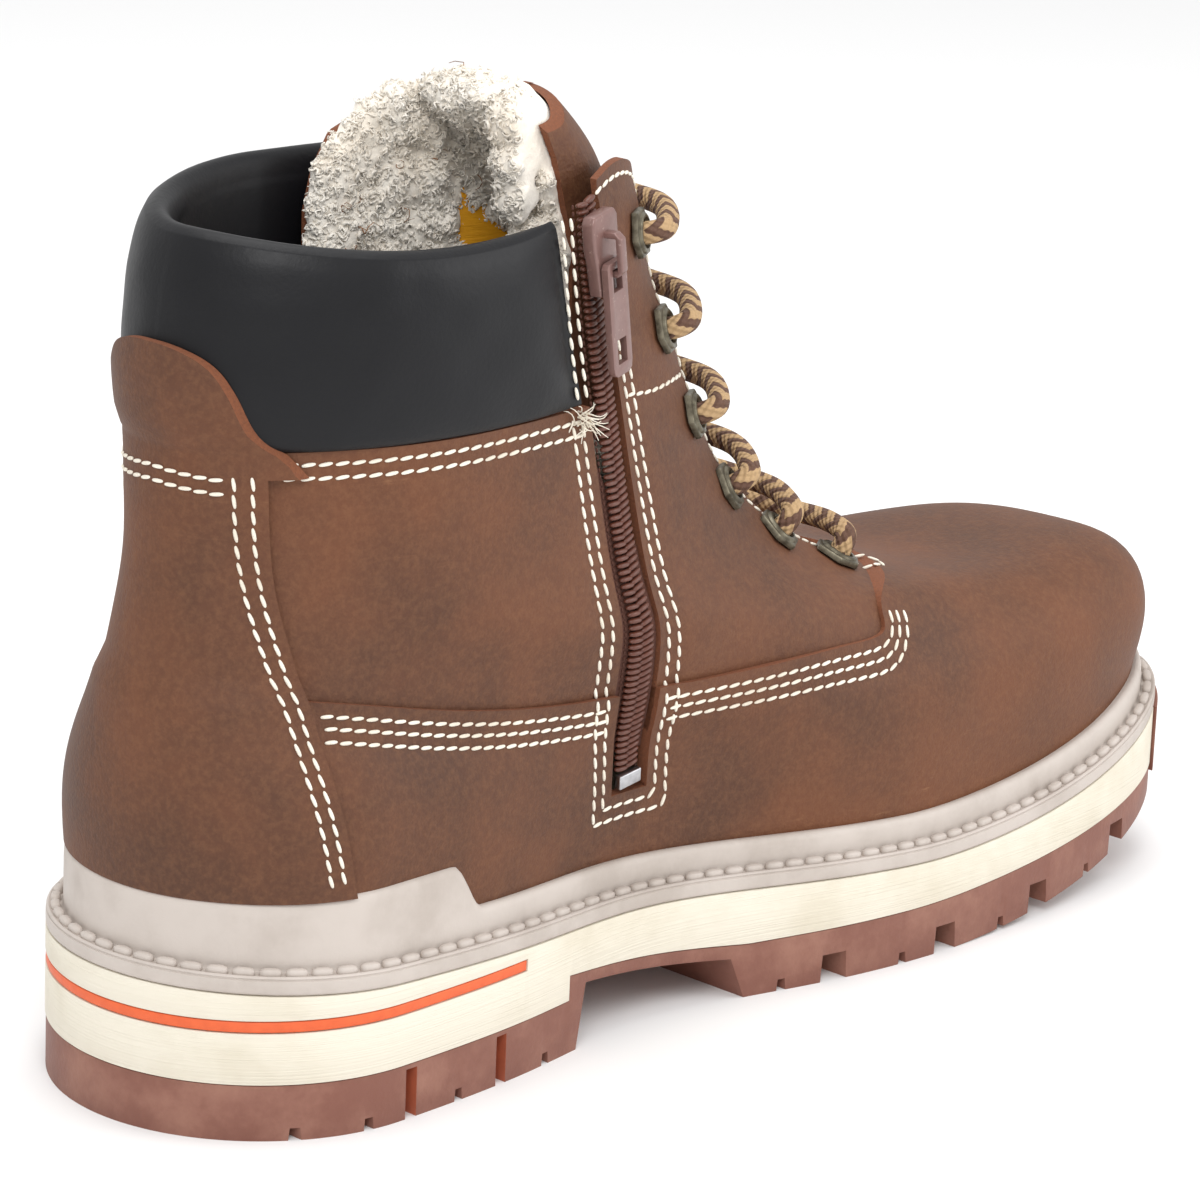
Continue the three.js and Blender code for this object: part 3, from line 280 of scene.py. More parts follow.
def spline_at(knots, values, bend, i, x):
    """The spline between knot i and the next, at x."""
    h = knots[..., i + 1] - knots[..., i]
    p = ((knots[..., i + 1] - x) / h)[..., None]
    q = 1 - p
    curve = ((p**3 - p) * bend[..., i, :] + (q**3 - q) * bend[..., i + 1, :]) * (h * h / 6)[..., None]
    return p * values[..., i, :] + q * values[..., i + 1, :] + curve


def edge_y(x, side):
    """The sole's outline on one side, side -1 being the inner side."""
    x = np.clip(np.asarray(x, float), 0, SOLE_LENGTH)
    ball = BALL_INNER if side < 0 else BALL_OUTER
    ball_x = (INNER_BALL_AT if side < 0 else OUTER_BALL_AT) * SOLE_LENGTH
    knots = np.array([HEEL_RADIUS] + [row[0] * SOLE_LENGTH for row in SOLE_STATIONS] + [ball_x])
    widths = [HEEL_RADIUS] + [row[1 if side < 0 else 2] * ball for row in SOLE_STATIONS] + [ball]
    values = np.array(widths)[:, None]
    bend = bends(knots, values, True)
    waist = np.zeros_like(x)
    for i in range(len(knots) - 1):
        inside = (x >= knots[i]) & (x <= knots[i + 1])
        waist[inside] = spline_at(knots, values, bend, i, x[inside])[:, 0]
    heel = np.sqrt(np.maximum(0, HEEL_RADIUS**2 - (HEEL_RADIUS - x) ** 2))
    u = np.clip((x - ball_x) / (SOLE_LENGTH - ball_x), 0, 1)
    toe = TOE_TIP_Y + side * (ball - side * TOE_TIP_Y) * (1 - u**TOE_SQUARENESS) ** (1 / TOE_SQUARENESS)
    return np.where(x < HEEL_RADIUS, side * heel, np.where(x < ball_x, side * waist, toe))


def share_of(s):
    """How far a place round the foot is from heel, 0, to toe tip, 1."""
    s = np.mod(s, 2)
    return np.where(s <= 1, s, 2 - s)


def side_of(s):
    return np.where(np.mod(s, 2) <= 1, -1.0, 1.0)


def outline(s):
    x = SOLE_LENGTH / 2 * (1 - np.cos(np.pi * share_of(s)))
    y = np.where(side_of(s) < 0, edge_y(x, -1), edge_y(x, 1))
    return np.stack([x, y], -1)


def inset(s, distance):
    """A point of the outline moved inwards."""
    along = outline(s + 0.004) - outline(s - 0.004)
    along /= np.linalg.norm(along, axis=-1, keepdims=True)
    return outline(s) + np.stack([-along[..., 1], along[..., 0]], -1) * distance


def past(x, start):
    return np.maximum(0, (x / SOLE_LENGTH - start) / (1 - start)) ** 2


def rim_low(x):
    return RIM_HEEL - RIM_FALL * x / SOLE_LENGTH + RIM_TOE_RISE * past(x, 0.62)


def ground(x):
    return TOE_SPRING * past(x, 0.66)


def waist_line(x):
    return FORE_RUBBER + WAIST_RISE * np.maximum(0, (FORE_LUG_X - x) / (FORE_LUG_X - BREAST_X))


def foam_low(x):
    return np.where(x < BREAST_X - 3, HEEL_RUBBER, waist_line(x) + 13.3 * past(x, 0.62))


def mesh_piece(name, points, faces, finishes, slots=None, smooth=40):
    """A mesh object from points in millimetres, shaded smooth up to an angle."""
    mesh = bpy.data.meshes.new(name)
    mesh.from_pydata(framed(points).tolist(), [], [tuple(face) for face in faces])
    for finish in finishes:
        mesh.materials.append(finish.material)
    if slots is not None:
        mesh.polygons.foreach_set("material_index", np.asarray(slots, dtype=np.int32))
    piece = bpy.data.objects.new(name, mesh)
    bpy.context.scene.collection.objects.link(piece)
    shade(piece, smooth)
    return piece


def shade(piece, angle):
    mesh = piece.data
    mesh.polygons.foreach_set("use_smooth", [True] * len(mesh.polygons))
    mesh.set_sharp_from_angle(angle=math.radians(angle))


def grid_faces(rows, columns, loop=True, ring=False):
    """Quads of a grid of points; loop closes each row and ring joins the last row to the first."""
    r = np.arange(rows if ring else rows - 1)[:, None]
    c = np.arange(columns if loop else columns - 1)[None, :]
    following = (r + 1) % rows * columns
    beside = (c + 1) % columns
    quads = np.stack([r * columns + c, r * columns + beside, following + beside, following + c], -1)
    return quads.reshape(-1, 4)


def tray(rows):
    """Points and faces of a closed skin through loops of points, with flat ends."""
    rows = np.asarray(rows)
    faces = grid_faces(len(rows), rows.shape[1]).tolist()
    count = rows.shape[1]
    faces.append(list(range(count))[::-1])
    faces.append(list(range((len(rows) - 1) * count, len(rows) * count)))
    return rows.reshape(-1, 3), faces


def prism(outline_points, axes, place, low, high):
    """Points and faces of an outline pushed along the third axis; axes are three vectors."""
    flat = np.asarray(outline_points, float)
    across, up, out = (np.asarray(axis, float) for axis in axes)
    base = np.asarray(place, float) + flat[:, :1] * across + flat[:, 1:] * up
    points = np.concatenate([base + out * low, base + out * high])
    count = len(flat)
    turn = np.cross(across, up) @ out
    ring = flat[:, 0] * np.roll(flat[:, 1], -1) - np.roll(flat[:, 0], -1) * flat[:, 1]
    faces = [[i, (i + 1) % count, (i + 1) % count + count, i + count] for i in range(count)]
    faces.append(list(range(count))[::-1])
    faces.append(list(range(count, 2 * count)))
    if ring.sum() * turn < 0:
        faces = [face[::-1] for face in faces]
    return points, faces


SIDE_VIEW = ((1, 0, 0), (0, 0, 1), (0, -1, 0))


def side_prism(points, low=-REACH, high=REACH):
    """An outline in x and z pushed across the boot from y low to y high."""
    return prism(points, SIDE_VIEW, (0, 0, 0), -high, -low)


def cut(piece, operation, shape, finish=None):
    """Cuts or joins a piece with a shape of points and faces; cut faces take the shape's finish."""
    tool = mesh_piece("tool", *shape, [finish] if finish else [])
    if finish is None:
        for material in piece.data.materials[:1]:
            tool.data.materials.append(material)
    step = piece.modifiers.new("cut", "BOOLEAN")
    step.object = tool
    step.operation = operation
    step.solver = "MANIFOLD"
    step.material_mode = "TRANSFER"
    settle(piece)
    bpy.data.objects.remove(tool)
    return piece


def settle(piece):
    """Applies a piece's modifiers."""
    bpy.context.view_layer.update()
    evaluated = piece.evaluated_get(bpy.context.evaluated_depsgraph_get())
    mesh = bpy.data.meshes.new_from_object(evaluated)
    piece.modifiers.clear()
    old = piece.data
    piece.data = mesh
    bpy.data.meshes.remove(old)


def block(name, distance, low, high, finish, count=360):
    """A straight-sided block of the sole's outline."""
    places = np.arange(count) * 2 / count
    flat = inset(places, distance)
    rows = [np.column_stack([flat, np.full(count, z)]) for z in (low, high)]
    return mesh_piece(name, *tray(rows), [finish])


def block_shape(distance, low, high, count=360):
    flat = inset(np.arange(count) * 2 / count, distance)
    return tray([np.column_stack([flat, np.full(count, z)]) for z in (low, high)])


def layer(low, high, count=120):
    """A prism across the boot between two heights along the sole."""
    x = np.unique(np.concatenate([np.linspace(-5, SOLE_LENGTH + 5, count),
        [BREAST_X - 3.01, BREAST_X - 2.99]]))
    inside = np.clip(x, 0, SOLE_LENGTH)
    bottom = np.column_stack([x, low(inside)])
    top = np.column_stack([x, high(inside)])[::-1]
    return side_prism(np.concatenate([bottom, top]))


def rectangle(x0, z0, x1, z1):
    return side_prism([(x0, z0), (x1, z0), (x1, z1), (x0, z1)])


def bevelled(piece, width, angle=35, segments=2):
    step = piece.modifiers.new("bevel", "BEVEL")
    step.width = width / 1000
    step.segments = segments
    step.limit_method = "ANGLE"
    step.angle_limit = math.radians(angle)
    step.use_clamp_overlap = True
    settle(piece)
    shade(piece, 45)
    return piece


foam = Finish("foam", roughness=0.62)
foam_lines = foam.noise(1.0, 2, 0.5, foam.scaled(30, 30, 2600))
foam_stain = foam.noise(28, 4, 0.6)
foam.feed(
    Base_Color=foam.between(foam.ramp(foam_stain, 0.42, 0.78), paint(222, 215, 199), paint(207, 198, 178)),
    Roughness=foam_lines * 0.2 + 0.5,
    Normal=foam.bump(foam_lines, 0.00022, 0.8),
)
midsole = block("midsole_foam", 0, 5, 70, foam)
cut(midsole, "INTERSECT", layer(foam_low, lambda x: rim_low(x) - SEAM_GAP))


def hoop(outer, inner, low, high):
    """A ring of the sole's outline between two insets, as a piece to cut with."""
    ring = block("ring", outer, low, high, foam)
    cut(ring, "DIFFERENCE", block_shape(inner, low - 1, high + 1))
    return ring


def shape_of(piece):
    """Takes a helper piece away and leaves its points and faces."""
    points = np.array([vertex.co for vertex in piece.data.vertices])
    faces = [list(polygon.vertices) for polygon in piece.data.polygons]
    bpy.data.objects.remove(piece)
    return (points - np.array(HEEL_SHIFT)) * 1000, faces


half = STRIPE_HEIGHT / 2
groove = hoop(-3, STRIPE_DEPTH + SEAM_GAP, 10, 40)
cut(groove, "INTERSECT", rectangle(-9, STRIPE_Z - half - SEAM_GAP, STRIPE_END_X + SEAM_GAP,
    STRIPE_Z + half + SEAM_GAP))
cut(midsole, "DIFFERENCE", shape_of(groove))
toe_seat = hoop(-BUMPER_PROUD - 2, BUMPER_THICK + SEAM_GAP, 0, 70)
cut(toe_seat, "INTERSECT", rectangle(BUMPER_X - SEAM_GAP, 0, SOLE_LENGTH + 9, 60))
cut(midsole, "DIFFERENCE", shape_of(toe_seat))
bevelled(midsole, 0.35)
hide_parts("midsole")
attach(midsole, "boot")

# Stripe: an orange strip pressed into the groove, square at its two ends.
stripe_finish = Finish("stripe", roughness=0.5)
stripe_grain = stripe_finish.noise(420, 3)
stripe_finish.feed(
    Base_Color=stripe_finish.between(stripe_grain, paint(232, 104, 52), paint(205, 84, 40)),
    Normal=stripe_finish.bump(stripe_grain, 0.0001),
)
stripe = hoop(0.1, STRIPE_DEPTH, 10, 40)
stripe.name = "stripe"
cut(stripe, "INTERSECT", rectangle(-9, STRIPE_Z - half, STRIPE_END_X, STRIPE_Z + half))
stripe.data.materials.clear()
stripe.data.materials.append(stripe_finish.material)
bevelled(stripe, 0.25)
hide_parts("midsole_stripe")
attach(stripe, "boot")

# Outsole: brown rubber with a heel block, a thin arch and blocks under the ball, turned up over the toe.
# Wide gaps and shallow notches run across, a channel runs along, and the heel's side slots show orange.
LUG_PITCH = 33.0
LUG_GAP = 7.4
LUG_DEPTH = 6.2
NOTCH_WIDTH = 3.0
NOTCH_DEPTH = 2.6
HEEL_NOTCHES = (0.21, 0.36, 0.61, 0.89)
HEEL_SLOTS = (0.47, 0.74)
SLOT_WIDTH = 3.0
SLOT_DEPTH = 9.0
WAIST_RUBBER = 2.9
tread = Finish("tread", roughness=0.6)
tread_dust = tread.noise(60, 5, 0.65)
tread_grain = tread.noise(900, 3, 0.6)
tread.feed(
    Base_Color=tread.between(tread.ramp(tread_dust, 0.4, 0.75), paint(122, 76, 62), paint(146, 102, 86)),
    Roughness=tread_dust * 0.3 + 0.42,
    Normal=tread.bump(tread_grain + tread_dust * 2, 0.00018, 0.7),
)
slot_finish = Finish("slot", roughness=0.6)
slot_grain = slot_finish.noise(300, 3)
slot_finish.feed(Base_Color=slot_finish.between(slot_grain, paint(176, 92, 60), paint(140, 70, 48)))


def cross_cut(x, width, depth):
    """A gap across the tread, a little narrower at its root."""
    x = float(x)
    low = float(ground(x)) - 4
    high = float(ground(x)) + depth
    return side_prism([(x - width / 2, low), (x + width / 2, low), (x + width / 2 - 0.6, high),
        (x - width / 2 + 0.6, high)])


def channel(x0, x1, y, width, depth):
    """A groove along the tread."""
    x = np.linspace(x0, x1, 24)
    inside = np.clip(x, 0, SOLE_LENGTH)
    low = np.column_stack([x, ground(inside) - 4])
    high = np.column_stack([x, ground(inside) + depth])[::-1]
    return side_prism(np.concatenate([low, high]), y - width / 2, y + width / 2)


outsole = block("outsole_tread", 0.2, -1, 30, tread)
cut(outsole, "INTERSECT", layer(ground, lambda x: foam_low(x) - SEAM_GAP))
arch = [
    (BREAST_X, -1), (BREAST_X + 3, float(waist_line(BREAST_X)) - WAIST_RUBBER),
    (FORE_LUG_X - 4, float(waist_line(FORE_LUG_X)) - WAIST_RUBBER), (FORE_LUG_X, -1),
]
cut(outsole, "DIFFERENCE", side_prism(arch), tread)
toe_guard = hoop(-BUMPER_PROUD, BUMPER_THICK, 0, 70)
cut(toe_guard, "INTERSECT", rectangle(BUMPER_X, 0, SOLE_LENGTH + 9, 60))
cut(toe_guard, "INTERSECT", layer(lambda x: foam_low(x) - 2, lambda x: rim_low(x) - SEAM_GAP))
cut(outsole, "UNION", shape_of(toe_guard))
for i in range(4):
    cut(outsole, "DIFFERENCE", cross_cut(FORE_LUG_X + 22.5 + LUG_PITCH * i, LUG_GAP, LUG_DEPTH), tread)
    cut(outsole, "DIFFERENCE", cross_cut(FORE_LUG_X + 9 + LUG_PITCH * i, NOTCH_WIDTH, NOTCH_DEPTH), tread)
for share in HEEL_NOTCHES:
    cut(outsole, "DIFFERENCE", cross_cut(BREAST_X * share, NOTCH_WIDTH, NOTCH_DEPTH), tread)
for share in HEEL_SLOTS:
    x = BREAST_X * share
    for side in (-1, 1):
        edge = float(edge_y(x, side))
        ends = sorted((edge - side * SLOT_DEPTH, edge + side * 5))
        slot = [
            (x - SLOT_WIDTH / 2, -4), (x + SLOT_WIDTH / 2, -4),
            (x + SLOT_WIDTH / 2, HEEL_RUBBER - 1.2), (x - SLOT_WIDTH / 2, HEEL_RUBBER - 1.2),
        ]
        cut(outsole, "DIFFERENCE", side_prism(slot, *ends), slot_finish)
cut(outsole, "DIFFERENCE", channel(FORE_LUG_X - 5, SOLE_LENGTH - 30, 2, 9, LUG_DEPTH), tread)
cut(outsole, "DIFFERENCE", channel(20, BREAST_X + 5, 0, 9, LUG_DEPTH), tread)
bevelled(outsole, 0.45)
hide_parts("outsole")
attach(outsole, "boot")

# Rim and rand: a taupe rubber strip round the foam. A smooth band and a fine line run below, then a
# ledge with a row of moulded stitch blocks, then a rand against the leather that stands high at the heel.
BEAD_HEIGHT = 1.5
BEAD_WIDTH = 2.0
BEAD_PITCH = 5.2
RAND_RISE = 10.0
RAND_HEEL_Z = 48.5
rim = Finish("rim", roughness=0.55)
rim_dust = rim.noise(45, 5, 0.6)
rim_grain = rim.noise(1200, 2, 0.6)
rim.feed(
    Base_Color=rim.between(rim.ramp(rim_dust, 0.35, 0.75), paint(192, 182, 174), paint(172, 161, 152)),
    Roughness=rim_dust * 0.25 + 0.42,
    Normal=rim.bump(rim_grain, 0.00008, 0.6),
)


def rand_top(x):
    low = rim_low(x) + RAND_RISE
    drop = np.clip((x - 60) / 9, 0, 1)
    return np.maximum(low, RAND_HEEL_Z + (low - RAND_HEEL_Z) * drop * drop * (3 - 2 * drop))


def welt_loop(distance, height, count=480):
    flat = inset(np.arange(count) * 2 / count, distance)
    return np.column_stack([flat, height(np.clip(flat[:, 0], 0, SOLE_LENGTH))])


def over_rim(up):
    return lambda x: rim_low(x) + up


def under_rand(down):
    return lambda x: rand_top(x) - down


welt_profile = [
    (0.35, over_rim(0)), (0.05, over_rim(0.3)), (0, over_rim(0.7)), (0, over_rim(2.5)), (0.05, over_rim(2.9)),
    (0.3, over_rim(3.05)), (0.3, over_rim(3.25)), (0.1, over_rim(3.45)), (0.25, over_rim(3.75)), 
    (0.55, over_rim(3.85)),
    (0.9, over_rim(3.6)), (3.0, over_rim(3.6)), (3.35, over_rim(3.9)), (3.5, over_rim(4.6)),
    (3.55, under_rand(3.4)), (3.65, under_rand(1.6)), (3.95, under_rand(0.6)), (4.5, under_rand(0.1)),
    (5.1, under_rand(0)), (7.5, under_rand(0.6)), (9.5, under_rand(1.2)), (9.5, over_rim(0)),
]
welt_rows = np.array([welt_loop(*row) for row in welt_profile])
welt_faces = grid_faces(len(welt_rows), welt_rows.shape[1], ring=True)
welt = mesh_piece("welt_rim", welt_rows.reshape(-1, 3), welt_faces, [rim])
shade(welt, 50)
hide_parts("welt")
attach(welt, "boot")


def ridge_path(distance, height, pitch):
    """Points evenly spaced round the sole at an inset and a height, and the directions along it."""
    loop = welt_loop(distance, height, 2000)
    steps = np.linalg.norm(np.roll(loop, -1, 0) - loop, axis=1)
    length = np.concatenate([[0], np.cumsum(steps)])
    count = int(length[-1] / pitch)
    at = np.arange(count) * length[-1] / count
    closed = np.concatenate([loop, loop[:1]])
    points = np.column_stack([np.interp(at, length, closed[:, axis]) for axis in range(3)])
    ahead = np.roll(points, -1, 0) - np.roll(points, 1, 0)
    return points, ahead / np.linalg.norm(ahead, axis=1, keepdims=True)


def pillow(length, width, height, power=3.2, around=12, along=7):
    """A rounded block, long in x, with soft square ends."""
    a = np.linspace(-1, 1, along)
    b = np.arange(around) * 2 * np.pi / around
    rows = []
    for share in np.sin(a * np.pi / 2):
        girth = (1 - abs(share) ** power) ** (1 / power)
        ring = np.column_stack([
            np.full(around, share * length / 2),
            np.sign(np.cos(b)) * np.abs(np.cos(b)) ** (2 / power) * width / 2 * max(girth, 0.02),
            np.sign(np.sin(b)) * np.abs(np.sin(b)) ** (2 / power) * height / 2 * max(girth, 0.02),
        ])
        rows.append(ring)
    return tray(rows)


def copies(shape, places, forward, upward):
    """Copies of one shape at places, its x along forward and its z along upward, joined in one mesh."""
    points, faces = shape
    forward = forward / np.linalg.norm(forward, axis=1, keepdims=True)
    side = np.cross(upward, forward)
    side /= np.linalg.norm(side, axis=1, keepdims=True)
    up = np.cross(forward, side)
    turn = np.stack([forward, side, up], 1)
    placed = np.einsum("pk,nkj->npj", points, turn) + places[:, None, :]
    count = len(points)
    joined = [[index + n * count for index in face] for n in range(len(places)) for face in faces]
    return placed.reshape(-1, 3), joined


bead_places, bead_ahead = ridge_path(0.95 + BEAD_WIDTH / 2, over_rim(3.95), BEAD_PITCH)
bead_up = np.tile([0.0, 0.0, 1.0], (len(bead_places), 1))
bead_shape = pillow(BEAD_PITCH * 0.86, BEAD_WIDTH, BEAD_HEIGHT * 1.5)
beads = mesh_piece("welt_stitch_blocks", *copies(bead_shape, bead_places, bead_ahead, bead_up), [rim])
shade(beads, 60)
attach(beads, "boot")

# Upper: the form of the foot and ankle that every leather part is cut from. Rings run round the foot from
# the wall above the sole to the tongue's tip, and ribs run up through them; s is a place round the foot,
# 0 at the heel and 1 at the toe, and v counts the rings upwards.
SHAFT_HEIGHT = 180.0
SHAFT_WIDTH = 78.0
FEATHER_INSET = 7.4
RING_NAMES = ("base", "feather", "rand", "wall", "shoulder", "toe", "vamp", "throat", "instep", "seam",
              "ankle", "collar", "top", "tip")
RING_KEYS = ("back", "back_z", "side_z", "front", "front_z", "oval", "full", "widest", "inner", "outer",
             "nose", "lean", "swing")
RINGS = (
    (0.0205, 0.333, 0.262, 0.983, 0.335, 0, 1.03, 0.5, 0.6, 0.62, 2.3, 0, -0.16),
    (0.0215, 0.411, 0.33, 0.968, 0.4, 0.15, 0.99, 0.5, 0.59, 0.6, 2.3, -0.012, -0.14),
    (0.0245, 0.489, 0.375, 0.897, 0.436, 0.45, 0.88, 0.44, 0.54, 0.49, 2.15, -0.025, -0.09),
    (0.03, 0.567, 0.475, 0.745, 0.432, 0.8, 0.87, 0.36, 0.49, 0.475, 2.05, -0.04, -0.02),
    (0.0335, 0.65, 0.55, 0.6, 0.535, 1, 1, 0.28, 0.455, 0.44, 2.3, -0.053, 0.02),
    (0.034, 0.717, 0.66, 0.527, 0.645, 1, 1, 0.235, 0.435, 0.435, 2.6, -0.06, 0.03),
    (0.034, 0.761, 0.761, 0.48, 0.795, 1, 1, 0.212, 0.425, 0.43, 2.7, -0.064, 0.03),
    (0.036, 0.835, 0.835, 0.455, 0.88, 1, 1, 0.205, 0.42, 0.415, 2.7, -0.064, 0.03),
    (0.041, 0.92, 0.92, 0.437, 0.967, 1, 1, 0.2, 0.42, 0.415, 2.7, -0.064, 0.03),
    (0.045, 1.03, 1.03, 0.412, 1.062, 1, 1, 0.198, 0.42, 0.415, 2.6, -0.064, 0.03),
    (0.06, 1.17, 1.17, 0.335, 1.18, 1, 1, 0.19, 0.4, 0.4, 2.4, -0.06, 0.03),
)
LEATHER = 2.0
VAMP_LAYER = 1.1
ZIP_TOP = (96.5, 178.0)
ZIP_FOOT = (116.5, 51.0)
ZIP_WIDTH = 11.0
COLLAR_SEAM_Z = 137.0
FLAP_TOP_Z = 184.0
THROAT_BASE = np.array([219.0, -4.5, 87.0])
THROAT_TOP = (133.0, 170.0)
THROAT_WIDTH = 28.0


def level(name):
    return float(RING_NAMES.index(name))


def ring_points(ring, s):
    """One ring of the form: the sole's outline below, a plain oval above."""
    r = dict(zip(RING_KEYS, ring))
    c = np.cos(np.pi * share_of(s))
    side = side_of(s)
    back, front, widest = (r[key] * SOLE_LENGTH for key in ("back", "front", "widest"))
    distance = FEATHER_INSET - 0.8
    foot = inset(s, distance)
    foot_x = back + (front - back) * (foot[:, 0] - distance) / (SOLE_LENGTH - 2 * distance)
    foot_y = foot[:, 1] * r["full"]
    reach = np.where(c > 0, widest - back, front - widest)
    width = np.where(side < 0, r["inner"], r["outer"]) * SHAFT_WIDTH
    power = np.where(c > 0, 1, 2 / r["nose"])
    oval_x = widest - reach * c
    near_front = np.maximum(0, -c) ** 2
    near_back = np.maximum(0, c) ** 2
    oval_y = side * width * np.sqrt(1 - c * c) ** power + r["swing"] * SHAFT_WIDTH * near_front
    rise = r["side_z"] + (r["back_z"] - r["side_z"]) * near_back + (r["front_z"] - r["side_z"]) * near_front
    x = foot_x + (oval_x - foot_x) * r["oval"]
    y = foot_y + (oval_y - foot_y) * r["oval"] + r["lean"] * SHAFT_WIDTH
    return np.column_stack([x, y, rise * SHAFT_HEIGHT])


class Form:
    """The outer face of the upper and its outward directions, read between the points of a fine table."""

    def __init__(self, places=1600, per_ring=20):
        self.places = places
        self.per_ring = per_ring
        s = np.arange(places) * 2 / places
        foot = inset(s, FEATHER_INSET)
        seat = inset(s, FEATHER_INSET - 0.4)
        ribs = [
            np.column_stack([foot, rim_low(foot[:, 0]) - 6]),
            np.column_stack([foot, rim_low(foot[:, 0]) + 0.3]),
            np.column_stack([seat, rim_low(seat[:, 0]) + RAND_RISE]),
        ] + [ring_points(ring, s) for ring in RINGS]
        ribs = np.stack(ribs, 1)
        chords = np.sqrt(np.linalg.norm(np.diff(ribs, axis=1), axis=2))
        knots = np.concatenate([np.zeros((places, 1)), np.cumsum(chords, 1)], 1)
        bend = bends(knots, ribs)
        rows = []
        for i in range(len(RING_NAMES) - 1):
            for share in np.arange(per_ring) / per_ring:
                k = knots[:, i] + (knots[:, i + 1] - knots[:, i]) * share
                rows.append(spline_at(knots, ribs, bend, i, k))
        rows.append(ribs[:, -1])
        self.points = np.stack(rows, 1)
        up = np.gradient(self.points, axis=1)
        around = np.roll(self.points, -8, 0) - np.roll(self.points, 8, 0)
        out = np.cross(around, up)
        self.normals = out / np.linalg.norm(out, axis=2, keepdims=True)

    def read(self, table, s, v):
        a = np.mod(s, 2) / 2 * self.places
        b = np.clip(v * self.per_ring, 0, table.shape[1] - 1.0001)
        i = np.floor(a).astype(int)
        j = np.floor(b).astype(int)
        p = (a - i)[..., None]
        q = (b - j)[..., None]
        i, beside = i % self.places, (i + 1) % self.places
        low = table[i, j] * (1 - p) + table[beside, j] * p
        high = table[i, j + 1] * (1 - p) + table[beside, j + 1] * p
        return low * (1 - q) + high * q

    def face(self, s, v, out=0.0):
        s, v = np.broadcast_arrays(np.asarray(s, float), np.asarray(v, float))
        push = np.asarray(out, float)
        return self.read(self.points, s, v) + self.outward(s, v) * push[..., None]

    def outward(self, s, v):
        direction = self.read(self.normals, s, v)
        return direction / np.linalg.norm(direction, axis=-1, keepdims=True)

    def find(self, targets, axes, s_range, v_range):
        """Places and levels where the face, seen along two axes, shows the target points."""
        axes = np.asarray(axes, float)
        s0, v0 = (grid.ravel() for grid in np.meshgrid(
            np.linspace(*s_range, 160), np.linspace(*v_range, 80), indexing="ij"))
        seen = self.face(s0, v0) @ axes.T
        nearest = [int(np.argmin(((seen - target) ** 2).sum(1))) for target in targets]
        s, v = s0[nearest], v0[nearest]
        for _ in range(6):
            here = self.face(s, v) @ axes.T
            by_s = (self.face(s + 0.002, v) @ axes.T - here) / 0.002
            by_v = (self.face(s, v + 0.02) @ axes.T - here) / 0.02
            gap = targets - here
            area = by_s[:, 0] * by_v[:, 1] - by_s[:, 1] * by_v[:, 0]
            area = np.where(np.abs(area) < 1e-6, 1e-6, area)
            s_step = (gap[:, 0] * by_v[:, 1] - gap[:, 1] * by_v[:, 0]) / area
            v_step = (by_s[:, 0] * gap[:, 1] - by_s[:, 1] * gap[:, 0]) / area
            s = np.clip(s + np.clip(s_step, -0.02, 0.02), *s_range)
            v = np.clip(v + np.clip(v_step, -0.4, 0.4), *v_range)
        return s, v


form = Form()
FLAT = ((1, 0, 0), (0, 0, 1))


def curved(points, spacing=1.0, closed=False):
    """A smooth curve through points, with points about evenly spaced along it."""
    points = np.asarray(points, float)
    knots = np.concatenate([[0], np.cumsum(np.sqrt(np.linalg.norm(np.diff(points, axis=0), axis=1)))])
    bend = bends(knots, points)
    fine = []
    for i in range(len(points) - 1):
        fine.append(spline_at(knots, points, bend, i,
            np.linspace(knots[i], knots[i + 1], 40, endpoint=False)))
    return evenly(np.concatenate(fine + [points[-1:]]), spacing)


def evenly(points, spacing):
    """Points about evenly spaced along a line of straight stretches."""
    points = np.asarray(points, float)
    at = np.concatenate([[0], np.cumsum(np.linalg.norm(np.diff(points, axis=0), axis=1))])
    count = max(2, int(round(at[-1] / spacing)) + 1)
    new = np.linspace(0, at[-1], count)
    return np.column_stack([np.interp(new, at, points[:, axis]) for axis in range(points.shape[1])])


def side_places(path, side):
    """Places and levels of a path given in x and z on the inner, -1, or the outer side."""
    s_range = (0.0, 1.0) if side < 0 else (1.0, 2.0)
    return form.find(np.asarray(path, float), FLAT, s_range, (1.0, 13.0))


ZIP_LEAN = (ZIP_FOOT[0] - ZIP_TOP[0]) / (ZIP_TOP[1] - ZIP_FOOT[1])


def zip_x(z):
    return ZIP_FOOT[0] - ZIP_LEAN * (z - ZIP_FOOT[1])


def zip_strip(width, low, high):
    outline_points = [
        (zip_x(low) - width / 2, low), (zip_x(low) + width / 2, low),
        (zip_x(high) + width / 2, high), (zip_x(high) - width / 2, high),
    ]
    return side_prism(outline_points, -REACH, -8)


LACE_LINE = np.array([THROAT_TOP[0] - THROAT_BASE[0], 0, THROAT_TOP[1] - THROAT_BASE[2]])
THROAT_LENGTH = float(np.linalg.norm(LACE_LINE))
LACE_LINE = LACE_LINE / THROAT_LENGTH
LACE_OUT = np.array([LACE_LINE[2], 0, -LACE_LINE[0]])
LACE_VIEW = ((0, 1, 0), LACE_LINE, LACE_OUT)


def throat_half(along):
    return THROAT_WIDTH / 2 * (0.72 + 0.28 * np.minimum(1.3, along / THROAT_LENGTH))


def throat_edge(grow=0.0, top=THROAT_LENGTH + 40):
    """One side of the throat's slot, from its base to above the flap, as distance across and along."""
    foot = [(0.0, -grow), (throat_half(0) * 0.55, 0.9 - grow),
        (throat_half(0) * 0.86 + grow * 0.7, 4.2 - grow * 0.5)]
    rest = [(float(throat_half(along)) + grow, along) for along in (10, 30, 60, 90, THROAT_LENGTH, top)]
    return curved(foot + rest, 1.2)


